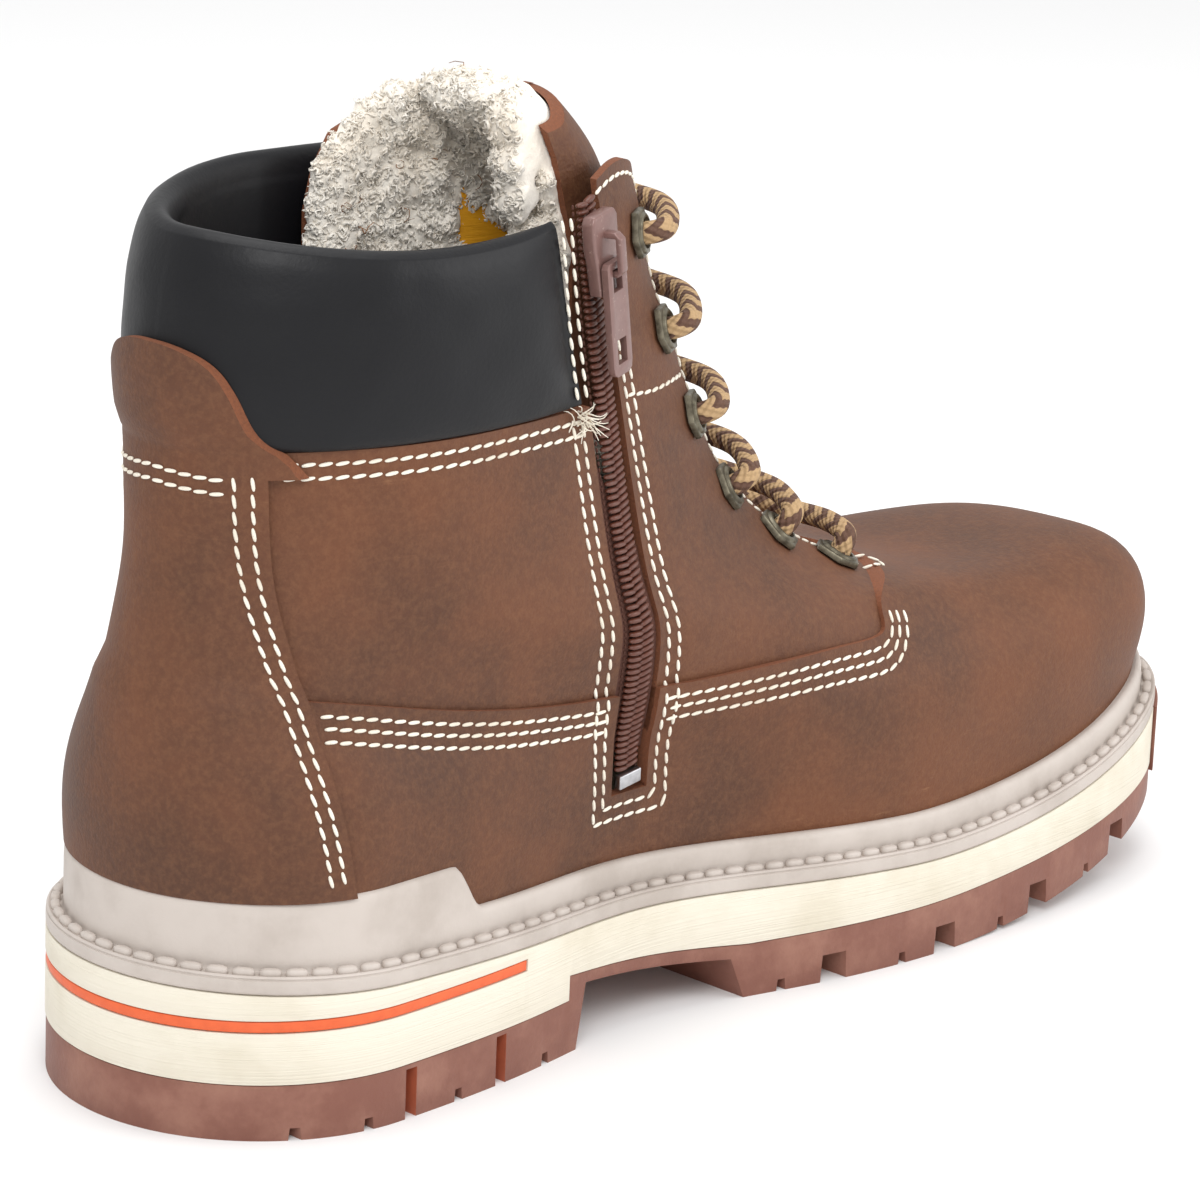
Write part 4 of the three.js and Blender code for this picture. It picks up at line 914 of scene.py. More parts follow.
throat_side = throat_edge()
throat_outline = np.concatenate([throat_side * (-1, 1), throat_side[1:][::-1]])[::-1]
throat_shape = prism(throat_outline, LACE_VIEW, THROAT_BASE, -40, 50)


def shell(name, s, v, outer, inner, finishes, looped=True):
    """A closed wall between two offsets of the form: slot 0 outside and round the edges, slot 1 inside."""
    s_grid, v_grid = np.meshgrid(s, v)
    plain = form.face(s_grid, v_grid)
    outside = form.face(s_grid, v_grid, outer(plain, s_grid, v_grid) if callable(outer) else outer)
    inside = form.face(s_grid, v_grid, inner(plain, s_grid, v_grid) if callable(inner) else inner)
    rows, columns = s_grid.shape
    count = rows * columns
    faces = grid_faces(rows, columns, looped)
    back = faces[:, ::-1] + count
    j = np.arange(columns if looped else columns - 1)
    beside = (j + 1) % columns
    top = (rows - 1) * columns
    low_edge = np.column_stack([j + count, beside + count, beside, j])
    high_edge = np.column_stack([j + top, beside + top, beside + top + count, j + top + count])
    every = [faces, back, low_edge, high_edge]
    if not looped:
        i = np.arange(rows - 1) * columns
        end = i + columns - 1
        every.append(np.column_stack([i, i + columns, i + columns + count, i + count]))
        every.append(np.column_stack([end + count, end + columns + count, end + columns, end]))
    slots = np.zeros(sum(len(part) for part in every), dtype=np.int32)
    if len(finishes) > 1:
        slots[len(faces):2 * len(faces)] = 1
    points = np.concatenate([outside.reshape(-1, 3), inside.reshape(-1, 3)])
    return mesh_piece(name, points, np.concatenate(every).tolist(), finishes, slots)


def spaced_places(v, count, start=0.0, end=2.0, looped=True):
    """Places evenly spaced in length along one level of the form."""
    s = np.linspace(start, end, 4000)
    line = form.face(s, v)
    at = np.concatenate([[0], np.cumsum(np.linalg.norm(np.diff(line, axis=0), axis=1))])
    return np.interp(np.linspace(0, at[-1], count, endpoint=not looped), at, s)


def spaced_levels(low, high, step):
    """Levels about one step of length apart."""
    v = np.linspace(low, high, 800)
    line = (form.face(0.5, v) + form.face(1.5, v) + form.face(0.85, v)) / 3
    at = np.concatenate([[0], np.cumsum(np.linalg.norm(np.diff(line, axis=0), axis=1))])
    return np.interp(np.linspace(0, at[-1], int(at[-1] / step) + 1), at, v)


def leather_finish(name, deep, mid, warm, rub):
    """Oiled nubuck: two browns in clouds, warmer where it was bent or rubbed, fine grain, light scuffs."""
    made = Finish(name, roughness=0.6, Specular_IOR_Level=0.35)
    clouds = made.noise(26, 5, 0.6)
    patches = made.noise(9, 3, 0.55)
    pores = made.cells(1500)
    grain = made.noise(700, 4, 0.7)
    scratch = made.noise(1.0, 5, 0.7, made.scaled(60, 60, 420))
    scuff = made.ramp(scratch, 0.62, 0.72) * made.ramp(patches, 0.5, 0.68)
    colour = made.between(made.ramp(clouds, 0.3, 0.72), deep, mid)
    colour = made.between(made.ramp(patches, 0.48, 0.74) * 0.6, colour, warm)
    colour = made.between(scuff * 0.55, colour, rub)
    colour = made.between(made.ramp(grain, 0.35, 0.75) * 0.22, colour, rub)
    made.feed(
        Base_Color=colour,
        Roughness=clouds * 0.22 + grain * 0.12 + 0.44,
        Normal=made.bump(pores * 0.35 + grain * 0.9 + scratch * 0.25, 0.00032, 0.55),
    )
    return made


leather = leather_finish("leather", paint(76, 46, 30), paint(101, 61, 39), paint(120, 69, 37),
    paint(144, 102, 70))
raw_edge = Finish("raw_edge", roughness=0.85)
edge_fibre = raw_edge.noise(1600, 4, 0.7)
raw_edge.feed(
    Base_Color=raw_edge.between(edge_fibre, paint(146, 86, 52), paint(92, 52, 34)),
    Normal=raw_edge.bump(edge_fibre, 0.0004),
)
lining = Finish("lining", roughness=0.9)
lining_weave = lining.noise(1400, 2)
lining.feed(
    Base_Color=lining.between(lining_weave, paint(28, 27, 28), paint(52, 50, 50)),
    Normal=lining.bump(lining_weave, 0.0002),
)

# Stitch rows of the upper, seen from the side. The panel at the heel, the top of the vamp and the seam
# under the collar are sewn in pairs; the zip has a pair on each side; the lace edge has one row.
PANEL_EDGE = curved([(35.5, 42), (34, 46), (29.5, 70), (27.5, 86), (23.5, 103), (20.7, 119), (19.5, 133)])
VAMP_BACK = curved([(-20, 90), (27.5, 87), (60, 80.5), (100, 75), (121, 74.6)])
VAMP_FRONT = curved([
    (121, 74.6), (150, 74.3), (175, 73.9), (185, 73.8), (188.3, 75), (188.9, 78), (191.3, 81), (201.6, 82.6),
    (212, 83.5), (217.5, 86), (219, 92), (219, 130),
])
VAMP_TURN = int(np.argmax(VAMP_FRONT[:, 1] > 78.5))


def beside(path, distance):
    """A path moved sideways, to the left of its run."""
    path = np.asarray(path, float)
    ahead = np.gradient(path, axis=0)
    ahead /= np.linalg.norm(ahead, axis=1, keepdims=True)
    return path + np.column_stack([-ahead[:, 1], ahead[:, 0]]) * distance


def part(path, keep):
    """The points of a path for which keep is true."""
    return np.array([point for point in path if keep(point)])


def zip_line(distance, low, high):
    z = np.linspace(low, high, 120)
    return np.column_stack([zip_x(z) + distance, z])


slot_edge = ZIP_WIDTH / 2
FLAP_EDGE = curved([(130.5, 175), (126, 180), (118, 183.5), (108, 184), (100, 182)])
COLLAR_SEAM = np.column_stack([np.linspace(10, 108, 100), np.full(100, COLLAR_SEAM_Z)])
EYESTAY_CURVE = curved([(111.5, 136.9), (117, 136.2), (123, 135.7), (134, 135.5), (141, 134.9)])
stitch_rows = {-1: [], 1: []}
for side in (-1, 1):
    rows = stitch_rows[side]
    zip_back = (lambda p: p[0] < zip_x(p[1]) - slot_edge - 2) if side < 0 else (lambda p: True)
    zip_front = (lambda p: p[0] > zip_x(p[1]) + slot_edge + 2) if side < 0 else (lambda p: True)
    for distance in (2.2, 4.7):
        rows.append(("panel", part(beside(PANEL_EDGE, distance), lambda p: p[1] > RAND_HEEL_Z + 2)))
    behind_panel = lambda p: p[0] > np.interp(p[1], PANEL_EDGE[:, 1], PANEL_EDGE[:, 0]) + 2
    for distance in (-2.8, -5.2, -7.8):
        line = np.concatenate([beside(VAMP_BACK, distance), beside(VAMP_FRONT[:VAMP_TURN], distance)[2:]])
        line = part(line, behind_panel)
        back = part(line, lambda p: p[0] < zip_x(p[1]) - slot_edge - 2) if side < 0 else line
        rows.append(("vamp", back))
        if side < 0:
            rows.append(("vamp", part(line, zip_front)))
    for distance in (-2.6, -5.4):
        line = part(beside(COLLAR_SEAM, distance), lambda p: p[0] > 22)
        rows.append(("quarter", part(line, zip_back) if side < 0 else line))
    rows.append(("quarter", EYESTAY_CURVE))
    rows.append(("quarter", beside(FLAP_EDGE, 2.6)))
for distance in (2.6, 5.6):
    foot = ZIP_FOOT[1] - distance
    aside = slot_edge + distance
    stitch_rows[-1].append(("zip", zip_line(-aside, foot, COLLAR_SEAM_Z - 3)))
    corner = [(zip_x(foot) - aside, foot), (zip_x(foot) + aside - 3, foot)]
    turn = curved([corner[1], (zip_x(foot) + aside - 0.8, foot + 0.8),
        (zip_x(foot + 4) + aside, foot + 4)], 0.5)
    front_row = zip_line(aside, foot + 5, ZIP_TOP[1] - 2)
    stitch_rows[-1].append(("zip", np.concatenate([evenly(corner, 1.0), turn[1:], front_row])))
    stitch_rows[-1].append(("collar", zip_line(-aside + 0.4, COLLAR_SEAM_Z + 2, ZIP_TOP[1] - 1)))


def sewn_line(path, side):
    """Places and levels of a stitch row, thinned to even points."""
    return side_places(evenly(path, 0.9), side)


def panel_line(path, side):
    """The same on the heel panel, whose face stands out from the form."""
    wanted = evenly(path, 0.9)
    aim = wanted.copy()
    for _ in range(4):
        s, v = side_places(aim, side)
        plain = form.face(s, v)
        pushed = form.face(s, v, collar_bulge(plain[:, 2]) + 0.35 + PANEL_THICK)
        aim += wanted - pushed[:, (0, 2)]
    return side_places(aim, side)


COLLAR_HEIGHT = 42.0
COLLAR_PAD = 3.2
COLLAR_LINING = 7.0
COLLAR_TILT = 4.5
PANEL_THICK = 1.5


def collar_bulge(z):
    up = (z - COLLAR_SEAM_Z) / COLLAR_HEIGHT
    above = COLLAR_PAD * np.minimum(1, np.sqrt(np.clip(up, 0, 0.36) / 0.36) + 0.06)
    below = VAMP_LAYER * np.clip((92 - z) / 6, 0, 1)
    blend = np.clip((z - COLLAR_SEAM_Z + 6) / 10, 0, 1)
    return below * (1 - blend) + above * blend


class Seams:
    """All stitch rows as points on the form, to pull the leather in along them."""

    def __init__(self, rows):
        points = [
            form.face(*(panel_line if kind == "panel" else sewn_line)(path, side))
            for side in (-1, 1) for kind, path in rows[side]
        ]
        points = np.concatenate(points)
        self.tree = kdtree.KDTree(len(points))
        for index, point in enumerate(points):
            self.tree.insert(point, index)
        self.tree.balance()

    def pull(self, points, depth=0.4, width=1.7):
        flat = points.reshape(-1, 3)
        gaps = np.array([self.tree.find(point)[2] for point in flat])
        return (-depth * np.exp(-((gaps / width) ** 2))).reshape(points.shape[:-1])


def soft_dents(points, depth, size):
    """Slow dents and swells, as in leather that has been worn."""
    flat = points.reshape(-1, 3) / size
    lift = [noise.noise(Vector(point)) for point in flat]
    return (depth * np.array(lift)).reshape(points.shape[:-1])


seams = Seams(stitch_rows)

# Quarters: the two sides of the shaft in one piece, open at the collar, the throat and the zip. The part
# before the zip stands up as the lace flap; its rim shows the raw orange-brown cut.
quarter_levels = spaced_levels(4.5, level("top"), 1.7)
quarter_places = spaced_places(level("throat"), 330)


def quarter_out(points, s, v):
    return seams.pull(points) + soft_dents(points, 0.5, 24)


quarters = shell("quarters", quarter_places, quarter_levels, quarter_out, -LEATHER, [leather, lining])
flap_x = zip_x(COLLAR_SEAM_Z) + ZIP_WIDTH / 2
cut(quarters, "DIFFERENCE", side_prism([
    (-20, COLLAR_SEAM_Z), (flap_x, COLLAR_SEAM_Z), (zip_x(250) + ZIP_WIDTH / 2, 250), (-20, 250),
]), raw_edge)
flap_top = curved([(80, FLAP_TOP_Z - 3), (98, FLAP_TOP_Z - 2.5), (108, FLAP_TOP_Z), (118, FLAP_TOP_Z - 0.5),
                   (126, FLAP_TOP_Z - 4), (134, FLAP_TOP_Z - 12), (150, FLAP_TOP_Z - 30)])
cut(quarters, "DIFFERENCE", side_prism(np.concatenate([flap_top, [(170, 250), (70, 250)]])), raw_edge)
cut(quarters, "DIFFERENCE", throat_shape, raw_edge)
cut(quarters, "DIFFERENCE", zip_strip(ZIP_WIDTH, ZIP_FOOT[1], 220), raw_edge)
shade(quarters, 45)
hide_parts("upper")
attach(quarters, "boot")

# Vamp: the forepart and the low sides, one layer over the quarters, its top edge cut raw and sewn with
# three rows that turn up to the lower end of the throat.
vamp_places = spaced_places(level("wall"), 440)
vamp_levels = spaced_levels(1.2, 8.0, 1.7)


def vamp_out(points, s, v):
    return VAMP_LAYER + seams.pull(points) + soft_dents(points, 0.45, 30)


vamp = shell("vamp", vamp_places, vamp_levels, vamp_out, -LEATHER + 0.1, [leather, lining])
vamp_zone = np.concatenate([VAMP_BACK, VAMP_FRONT[1:], [(330, 130), (330, -5), (-20, -5)]])
cut(vamp, "INTERSECT", side_prism(vamp_zone), raw_edge)
cut(vamp, "DIFFERENCE", throat_shape, raw_edge)
cut(vamp, "DIFFERENCE", zip_strip(ZIP_WIDTH, ZIP_FOOT[1], 220), raw_edge)
shade(vamp, 45)
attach(vamp, "boot")

# Heel panel: one tall piece from the rand to a rounded tab that laps over the collar's back, sewn down
# with two rows beside its edge.
tab_half = [(24, 132), (22, 136.5), (19.5, 141), (18, 146), (16, 151), (12, 155), (5, 157.2)]
tab_outline = curved([(-y, z) for y, z in tab_half] + [(0, 157.5)] + tab_half[::-1])
lean = RINGS[6][11] * SHAFT_WIDTH
BACK_VIEW = ((0, 1, 0), (0, 0, 1), (1, 0, 0))
tab_shape = prism(tab_outline + (lean, 0), BACK_VIEW, (0, 0, 0), -30, 30)
panel_side = np.concatenate([PANEL_EDGE, [(18, 137), (11, 139), (-30, 139), (-30, 40)]])
panel_places = spaced_places(level("instep"), 150, -0.5, 0.5, False)
panel_levels = spaced_levels(level("rand"), level("top"), 1.3)


def panel_out(points, s, v):
    stand = collar_bulge(points[..., 2]) + 0.35 + PANEL_THICK
    return stand + seams.pull(points) + soft_dents(points, 0.35, 26)


def panel_in(points, s, v):
    return collar_bulge(points[..., 2]) + 0.1


heel_panel = shell("heel_panel", panel_places, panel_levels, panel_out, panel_in, [leather, raw_edge],
    looped=False)
panel_keep = mesh_piece("keep", *side_prism(panel_side), [raw_edge])
cut(panel_keep, "UNION", tab_shape)
keep_shape = shape_of(panel_keep)
cut(heel_panel, "INTERSECT", keep_shape, raw_edge)
cut(heel_panel, "INTERSECT", layer(lambda x: rand_top(x) - 0.5, lambda x: 0 * x + 200), raw_edge)
shade(heel_panel, 45)
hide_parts("back_panel")
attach(heel_panel, "boot")


# Collar: a soft black roll round the back of the shaft from the zip to the outer flap, thin where it is
# sewn down beside the zip, fullest in the middle, with creases pressed in over the heel tab.
COLLAR_PROFILE = (
    (0, -0.1), (0.0, 0.12), (0.03, 0.42), (0.1, 0.68), (0.22, 0.9), (0.36, 1.0), (0.52, 1.0), (0.66, 0.92),
    (0.78, 0.72), (0.88, 0.45), (0.95, 0.1), (0.99, -0.18), (1.0, -0.36), (0.99, -0.56), (0.95, -0.76),
    (0.88, -0.92), (0.78, -1.02), (0.62, -1.08), (0.45, -1.08), (0.28, -0.98), (0.12, -0.72), (0, -0.32),
)
collar_finish = Finish("collar", roughness=0.36, Specular_IOR_Level=0.25)
collar_grain = collar_finish.noise(900, 3, 0.6)
collar_cloud = collar_finish.noise(30, 4, 0.6)
collar_finish.feed(
    Base_Color=collar_finish.between(collar_cloud, paint(13, 13, 16), paint(21, 21, 24)),
    Roughness=collar_cloud * 0.16 + collar_grain * 0.1 + 0.3,
    Normal=collar_finish.bump(collar_grain, 0.00012, 0.5),
)


def seam_level(z):
    """The level whose back is at a height, above the collar's seam."""
    heights = [ring[1] * SHAFT_HEIGHT for ring in RINGS[6:10]]
    return level("seam") + np.interp(z, heights, range(4)) + np.maximum(0, z - heights[-1]) / 20


def collar_points(s, up, out, extra=0.0):
    """Points of the collar: up is a share of its height, out one of its padding or, inside, its lining."""
    tilt = side_of(s) * COLLAR_TILT * np.sin(np.pi * share_of(s)) ** 2
    v = seam_level(COLLAR_SEAM_Z + 0.3 + up * (COLLAR_HEIGHT + tilt))
    edge = zip_x(COLLAR_SEAM_Z + up * COLLAR_HEIGHT) - ZIP_WIDTH / 2
    plain = form.face(s, v)
    gap = np.where(side_of(s) < 0, edge - plain[..., 0], 30)
    full = 0.3 + 0.7 * (1 - np.exp(-np.maximum(0, gap - 7) / 7))
    push = np.where(out >= 0, out * COLLAR_PAD * full, out * COLLAR_LINING * (0.25 + 0.75 * full)) + extra
    return form.face(s, v, push)


collar_curve = curved(COLLAR_PROFILE, 0.03)
collar_places = spaced_places(level("collar"), 300, -0.62, 0.62, False)
collar_rows = []
for up, out in collar_curve:
    plain = collar_points(collar_places, np.full(300, up), np.full(300, out))
    swell = soft_dents(plain * (1, 1, 0.6), 0.7, 30) + soft_dents(plain, 0.22, 9)
    near_tab = np.exp(-((plain[:, 1] - lean) / 21) ** 4) * np.clip(1.15 - up * 1.6, 0, 1) * (plain[:, 0] < 60)
    swell = swell * (out > -0.9) - 0.8 * near_tab * (out > 0)
    collar_rows.append(collar_points(collar_places, np.full(300, up), np.full(300, out), swell))
collar_rows = np.array(collar_rows)
faces = grid_faces(len(collar_rows), 300, loop=False, ring=True).tolist()
faces.append([row * 300 for row in range(len(collar_rows))])
faces.append([row * 300 + 299 for row in range(len(collar_rows))][::-1])
collar = mesh_piece("collar_roll", collar_rows.reshape(-1, 3), faces, [collar_finish])
cut(collar, "INTERSECT", side_prism([(-20, 100), (zip_x(100) + 5, 100), (zip_x(230) + 5, 230),
    (-20, 230)]), collar_finish)
outer_limit = zip_x(COLLAR_SEAM_Z) + ZIP_WIDTH / 2 - 0.3
cut(collar, "DIFFERENCE", side_prism([(outer_limit, 100), (150, 100), (150, 230), (outer_limit, 230)], 0,
    REACH), collar_finish)
cut(collar, "DIFFERENCE", zip_strip(ZIP_WIDTH, ZIP_FOOT[1], 240), collar_finish)
shade(collar, 50)
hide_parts("collar")
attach(collar, "boot")

# Stitches: short fat grains of white thread, every row in one mesh, each lying on its own leather.
STITCH_LENGTH = 2.9
STITCH_PITCH = 3.4
thread = Finish("thread", roughness=0.75)
thread_twist = thread.noise(1.0, 2, 0.5, thread.scaled(1500, 1500, 1500))
thread_dirt = thread.noise(60, 3)
thread.feed(
    Base_Color=thread.between(thread.ramp(thread_dirt, 0.45, 0.75) * 0.5, paint(238, 231, 216),
        paint(196, 180, 158)),
    Normal=thread.bump(thread_twist, 0.0003),
)


def vamp_covers(x, z):
    """Whether a side-view point lies on the vamp, below its top edge or before its front edge."""
    edge = np.concatenate([VAMP_BACK, VAMP_FRONT[1:]])
    return z < np.interp(x, np.maximum.accumulate(edge[:, 0]), edge[:, 1])


def leather_out(kind, points, s, v):
    if kind == "panel":
        return panel_out(points, s, v)
    if kind == "collar":
        return np.full(len(s), 0.32 * COLLAR_PAD)
    on_vamp = vamp_covers(points[..., 0], points[..., 2])
    return np.where(on_vamp, vamp_out(points, s, v), quarter_out(points, s, v))


def sew(name, rows, pitch=STITCH_PITCH, length=STITCH_LENGTH, thick=0.78):
    """One mesh of stitches along rows of places, levels and their leather's kind."""
    places, forward, upward = [], [], []
    for kind, s, v in rows:
        plain = form.face(s, v)
        lift = leather_out(kind, plain, s, v) if kind != "none" else 0
        line = form.face(s, v, lift + 0.12)
        up = form.outward(s, v)
        at = np.concatenate([[0], np.cumsum(np.linalg.norm(np.diff(line, axis=0), axis=1))])
        count = max(1, int(round(at[-1] / pitch)))
        mid = (np.arange(count) + 0.5) * at[-1] / count

        def read(values, where):
            return np.column_stack([np.interp(where, at, values[:, axis]) for axis in range(3)])

        ahead = read(line, mid + 1.2) - read(line, mid - 1.2)
        places.append(read(line, mid))
        forward.append(ahead)
        upward.append(read(up, mid))
    places, forward, upward = (np.concatenate(part) for part in (places, forward, upward))
    forward /= np.linalg.norm(forward, axis=1, keepdims=True)
    sideways = np.cross(upward, forward)
    forward = forward + sideways * 0.14
    shape = pillow(length, thick * 1.05, thick * 0.85, 2.4, 8, 7)
    piece = mesh_piece(name, *copies(shape, places, forward, upward), [thread])
    shade(piece, 70)
    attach(piece, "boot")
    return piece


def throat_places_of(path, side):
    """Places and levels of a path given as distance across and along the throat."""
    path = np.asarray(path, float)
    axes = np.array([(0, 1, 0), LACE_LINE])
    targets = np.column_stack([THROAT_BASE[1] + side * path[:, 0], path[:, 1] + LACE_LINE @ THROAT_BASE])
    s_range = (0.4, 1.0) if side < 0 else (1.0, 1.6)
    return form.find(targets, axes, s_range, (4.0, 13.0))


sewn = []
for side in (-1, 1):
    for kind, path in stitch_rows[side]:
        if len(path) > 3:
            sewn.append((kind, *(panel_line if kind == "panel" else sewn_line)(path, side)))
    lace_row = np.column_stack([throat_half(np.linspace(14, 124, 120)) + 2.4, np.linspace(14, 124, 120)])
    sewn.append(("quarter", *throat_places_of(lace_row, side)))
    lace_end = throat_half(0) + np.array([2.4, 6.0, 9.5, 9.5, 6.0, 2.4])
    lace_end = np.column_stack([lace_end, (8, 3.5, 5, 10, 11, 8)])
    sewn.append(("quarter", *throat_places_of(evenly(lace_end, 0.9), side)))
    for distance in (2.6, 5.4):
        away = np.arange(0, 40, 0.9)
        back_row = np.column_stack([lean + side * away, COLLAR_SEAM_Z - 1.5 - distance - away / 12])
        s, v = form.find(back_row, BACK_VIEW[:2], (0.0, 0.4) if side < 0 else (1.6, 2.0), (4.0, 12.0))
        on_panel = form.face(s, v)[:, 0] < PANEL_EDGE[-1, 0] - 4
        sewn.append(("panel", s[on_panel], v[on_panel]))
sew("stitches", sewn)

# Tongue: a leather leaf behind the laces that rises above the collar and wraps round the instep, its
# edges cut raw and tucked in behind the collar.
TONGUE_LEATHER = 1.8
TONGUE_FOOT = ((-0.06, 0.3), (0.02, 0.42), (0.28, 0.5), (0.45, 0.56), (0.75, 0.72), (1, 0.8))
TONGUE_HEAD = ((0.8, 0.78), (0.88, 0.8), (0.95, 0.8), (1.01, 0.74), (1.06, 0.6), (1.09, 0.42),
    (1.108, 0.2), (1.112, 0))
HALF_SHAFT = SHAFT_WIDTH / 2
SHAFT_MIDDLE = (60.0, -3.0)
TONGUE_LEAN = 5.5
TONGUE_INNER = ((30, 54), (101, 54), (101, 166), (96, 185.4), (90, 198), (90, 234), (30, 234))
TONGUE_OUTER = ((30, 54), (64, 54), (64, 172), (66, 180), (70, 187.2), (76, 192.6), (84, 196.2),
    (97, 234), (30, 234))


def smooth_step(x, low, high):
    t = np.clip((x - low) / (high - low), 0, 1)
    return t * t * (3 - 2 * t)


def turn_in(s, v):
    """How far the tongue's edges tuck in behind the collar, and its middle leans back over the laces."""
    edge = smooth_step(np.abs(np.mod(s, 2) - 1), 0.22, 0.34)
    lean_back = TONGUE_LEAN * (1 - edge) * smooth_step(v, level("seam"), level("tip"))
    return COLLAR_LINING * 1.15 * edge * smooth_step(v, level("instep"), level("seam")) + lean_back


def tongue_shape(narrower=2.5):
    """The tongue's outline as a shape to cut with: its foot square to the laces, its head from behind."""
    foot = curved([(row[1] * HALF_SHAFT, row[0] * THROAT_LENGTH) for row in TONGUE_FOOT], 2.0)
    foot = np.concatenate([foot, (foot * (-1, 1))[::-1]])
    head = [(row[1] * HALF_SHAFT - narrower, row[0] * SHAFT_HEIGHT - narrower) for row in TONGUE_HEAD]
    head = curved(head, 2.0)
    head = np.concatenate([head, (head * (-1, 1))[::-1][1:]])
    lower = mesh_piece("lower", *prism(foot, LACE_VIEW, THROAT_BASE, -48, 42), [raw_edge])
    whole = cut(lower, "UNION", prism(head, BACK_VIEW, (SOLE_LENGTH * 0.19, THROAT_BASE[1], 0), 0, 100))
    inner, outer = (np.array(edge) + (narrower, 0) for edge in (TONGUE_INNER, TONGUE_OUTER))
    cut(whole, "DIFFERENCE", side_prism(inner, -REACH, THROAT_BASE[1] - 8))
    cut(whole, "DIFFERENCE", side_prism(outer, THROAT_BASE[1], REACH))
    return shape_of(whole)


def tongue_out(points, s, v):
    return -LEATHER - 0.3 - turn_in(s, v) + soft_dents(points, 0.25, 20)


def tongue_in(points, s, v):
    return -LEATHER - 0.3 - TONGUE_LEATHER - turn_in(s, v)


tongue_places = spaced_places(level("collar"), 220, 0.45, 1.55, False)
tongue_levels = spaced_levels(level("vamp"), level("tip"), 1.7)
tongue = shell("tongue_leather", tongue_places, tongue_levels, tongue_out, tongue_in, [leather, raw_edge],
    looped=False)
cut(tongue, "INTERSECT", tongue_shape(), raw_edge)
shade(tongue, 45)
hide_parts("tongue")
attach(tongue, "boot")

# Pile: thick cream shearling on the tongue's inner face, overhanging its top. A lumpy body carries
# thousands of small curls, and a few stray brown hairs lie in it.
pile_finish = Finish("pile", roughness=0.95, Sheen_Weight=0.35, Sheen_Roughness=0.5)
pile_fleck = pile_finish.noise(240, 4, 0.6)
pile_patch = pile_finish.noise(45, 3, 0.5)
pile_tint = pile_finish.between(pile_finish.ramp(pile_patch, 0.35, 0.7), paint(244, 238, 228),
    paint(232, 222, 207))
pile_finish.feed(
    Base_Color=pile_finish.between(pile_finish.ramp(pile_fleck, 0.5, 0.8) * 0.3, pile_tint,
        paint(206, 190, 168)),
    Normal=pile_finish.bump(pile_fleck, 0.0012, 0.7),
)
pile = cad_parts["tongue_pile"].copy()
pile.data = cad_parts["tongue_pile"].data.copy()
pile.name = "pile_body"
pile.parent = None
for key in list(pile.keys()):
    del pile[key]
bpy.context.scene.collection.objects.link(pile)
pile.data.materials.clear()
pile.data.materials.append(pile_finish.material)
remesh = pile.modifiers.new("even", "REMESH")
remesh.mode = "VOXEL"
remesh.voxel_size = 0.0013
soften = pile.modifiers.new("soften", "SMOOTH")
soften.factor = 0.6
soften.iterations = 8
settle(pile)
rest = np.array([vertex.co for vertex in pile.data.vertices])
out = np.array([vertex.normal for vertex in pile.data.vertices])


def faces_leather(points, normals):
    """How much faces look away from the shaft's middle, towards the tongue's leather."""
    away = points[:, :2] - SHAFT_MIDDLE
    away /= np.linalg.norm(away, axis=1, keepdims=True)
    return (normals[:, :2] * away).sum(axis=1)


lumps = np.array([
    abs(noise.noise(Vector(point * 105))) * 2.6 + abs(noise.noise(Vector(point * 240))) * 1.5
    + noise.noise(Vector(point * 520)) * 0.7
    for point in rest
])
facing = faces_leather((rest - np.array(HEEL_SHIFT)) * 1000, out)
free = np.clip(0.75 - facing * 1.4, 0, 1)
pile.data.vertices.foreach_set("co", (rest + out * (free * (lumps + 0.9) / 1000)[:, None]).ravel())
pile.data.update()
shade(pile, 180)
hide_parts("tongue_pile")
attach(pile, "boot")


def curl(turns, length, radius, thick, sides=3, steps=7):
    """One small lock: a helix that narrows to its tip."""
    t = np.linspace(0, 1, steps)
    angle = turns * 2 * np.pi * t
    reach = radius * (0.5 + 0.5 * t)
    line = np.column_stack([reach * np.cos(angle), reach * np.sin(angle), length * t])
    return tube(line, thick * (1 - 0.6 * t), sides)


def tube(line, radii, sides=8, phase=0.0):
    """Points and faces of a closed tube along a line, its ring turned as little as it can be."""
    line = np.asarray(line, float)
    ahead = np.gradient(line, axis=0)
    ahead /= np.linalg.norm(ahead, axis=1, keepdims=True)
    across = np.cross(ahead[0], (0.3, 0.2, 0.93))
    across /= np.linalg.norm(across)
    radii = np.broadcast_to(radii, len(line))
    angle = np.arange(sides) * 2 * np.pi / sides + phase
    rows = []
    for point, direction, radius in zip(line, ahead, radii):
        across = across - direction * (across @ direction)
        across /= np.linalg.norm(across)
        up = np.cross(direction, across)
        rows.append(point + radius * (np.cos(angle)[:, None] * across + np.sin(angle)[:, None] * up))
    return tray(rows)


def scatter(piece, count, keep, seed):
    """Random points on a piece's faces, in millimetres, with their directions."""
    chance = np.random.default_rng(seed)
    mesh = piece.data
    mesh.calc_loop_triangles()
    corners = np.array([vertex.co for vertex in mesh.vertices])
    corners = (corners - np.array(HEEL_SHIFT)) * 1000
    triangles = np.array([triangle.vertices[:] for triangle in mesh.loop_triangles])
    a, b, c = (corners[triangles[:, i]] for i in range(3))
    normal = np.cross(b - a, c - a)
    area = np.linalg.norm(normal, axis=1)
    normal /= np.maximum(area, 1e-9)[:, None]
    area = area * keep((a + b + c) / 3, normal)
    chosen = chance.choice(len(area), count, p=area / area.sum())
    u, w = chance.random((2, count, 1))
    fold = (u + w) > 1
    u, w = np.where(fold, 1 - u, u), np.where(fold, 1 - w, w)
    return a[chosen] + u * (b - a)[chosen] + w * (c - a)[chosen], normal[chosen], chance


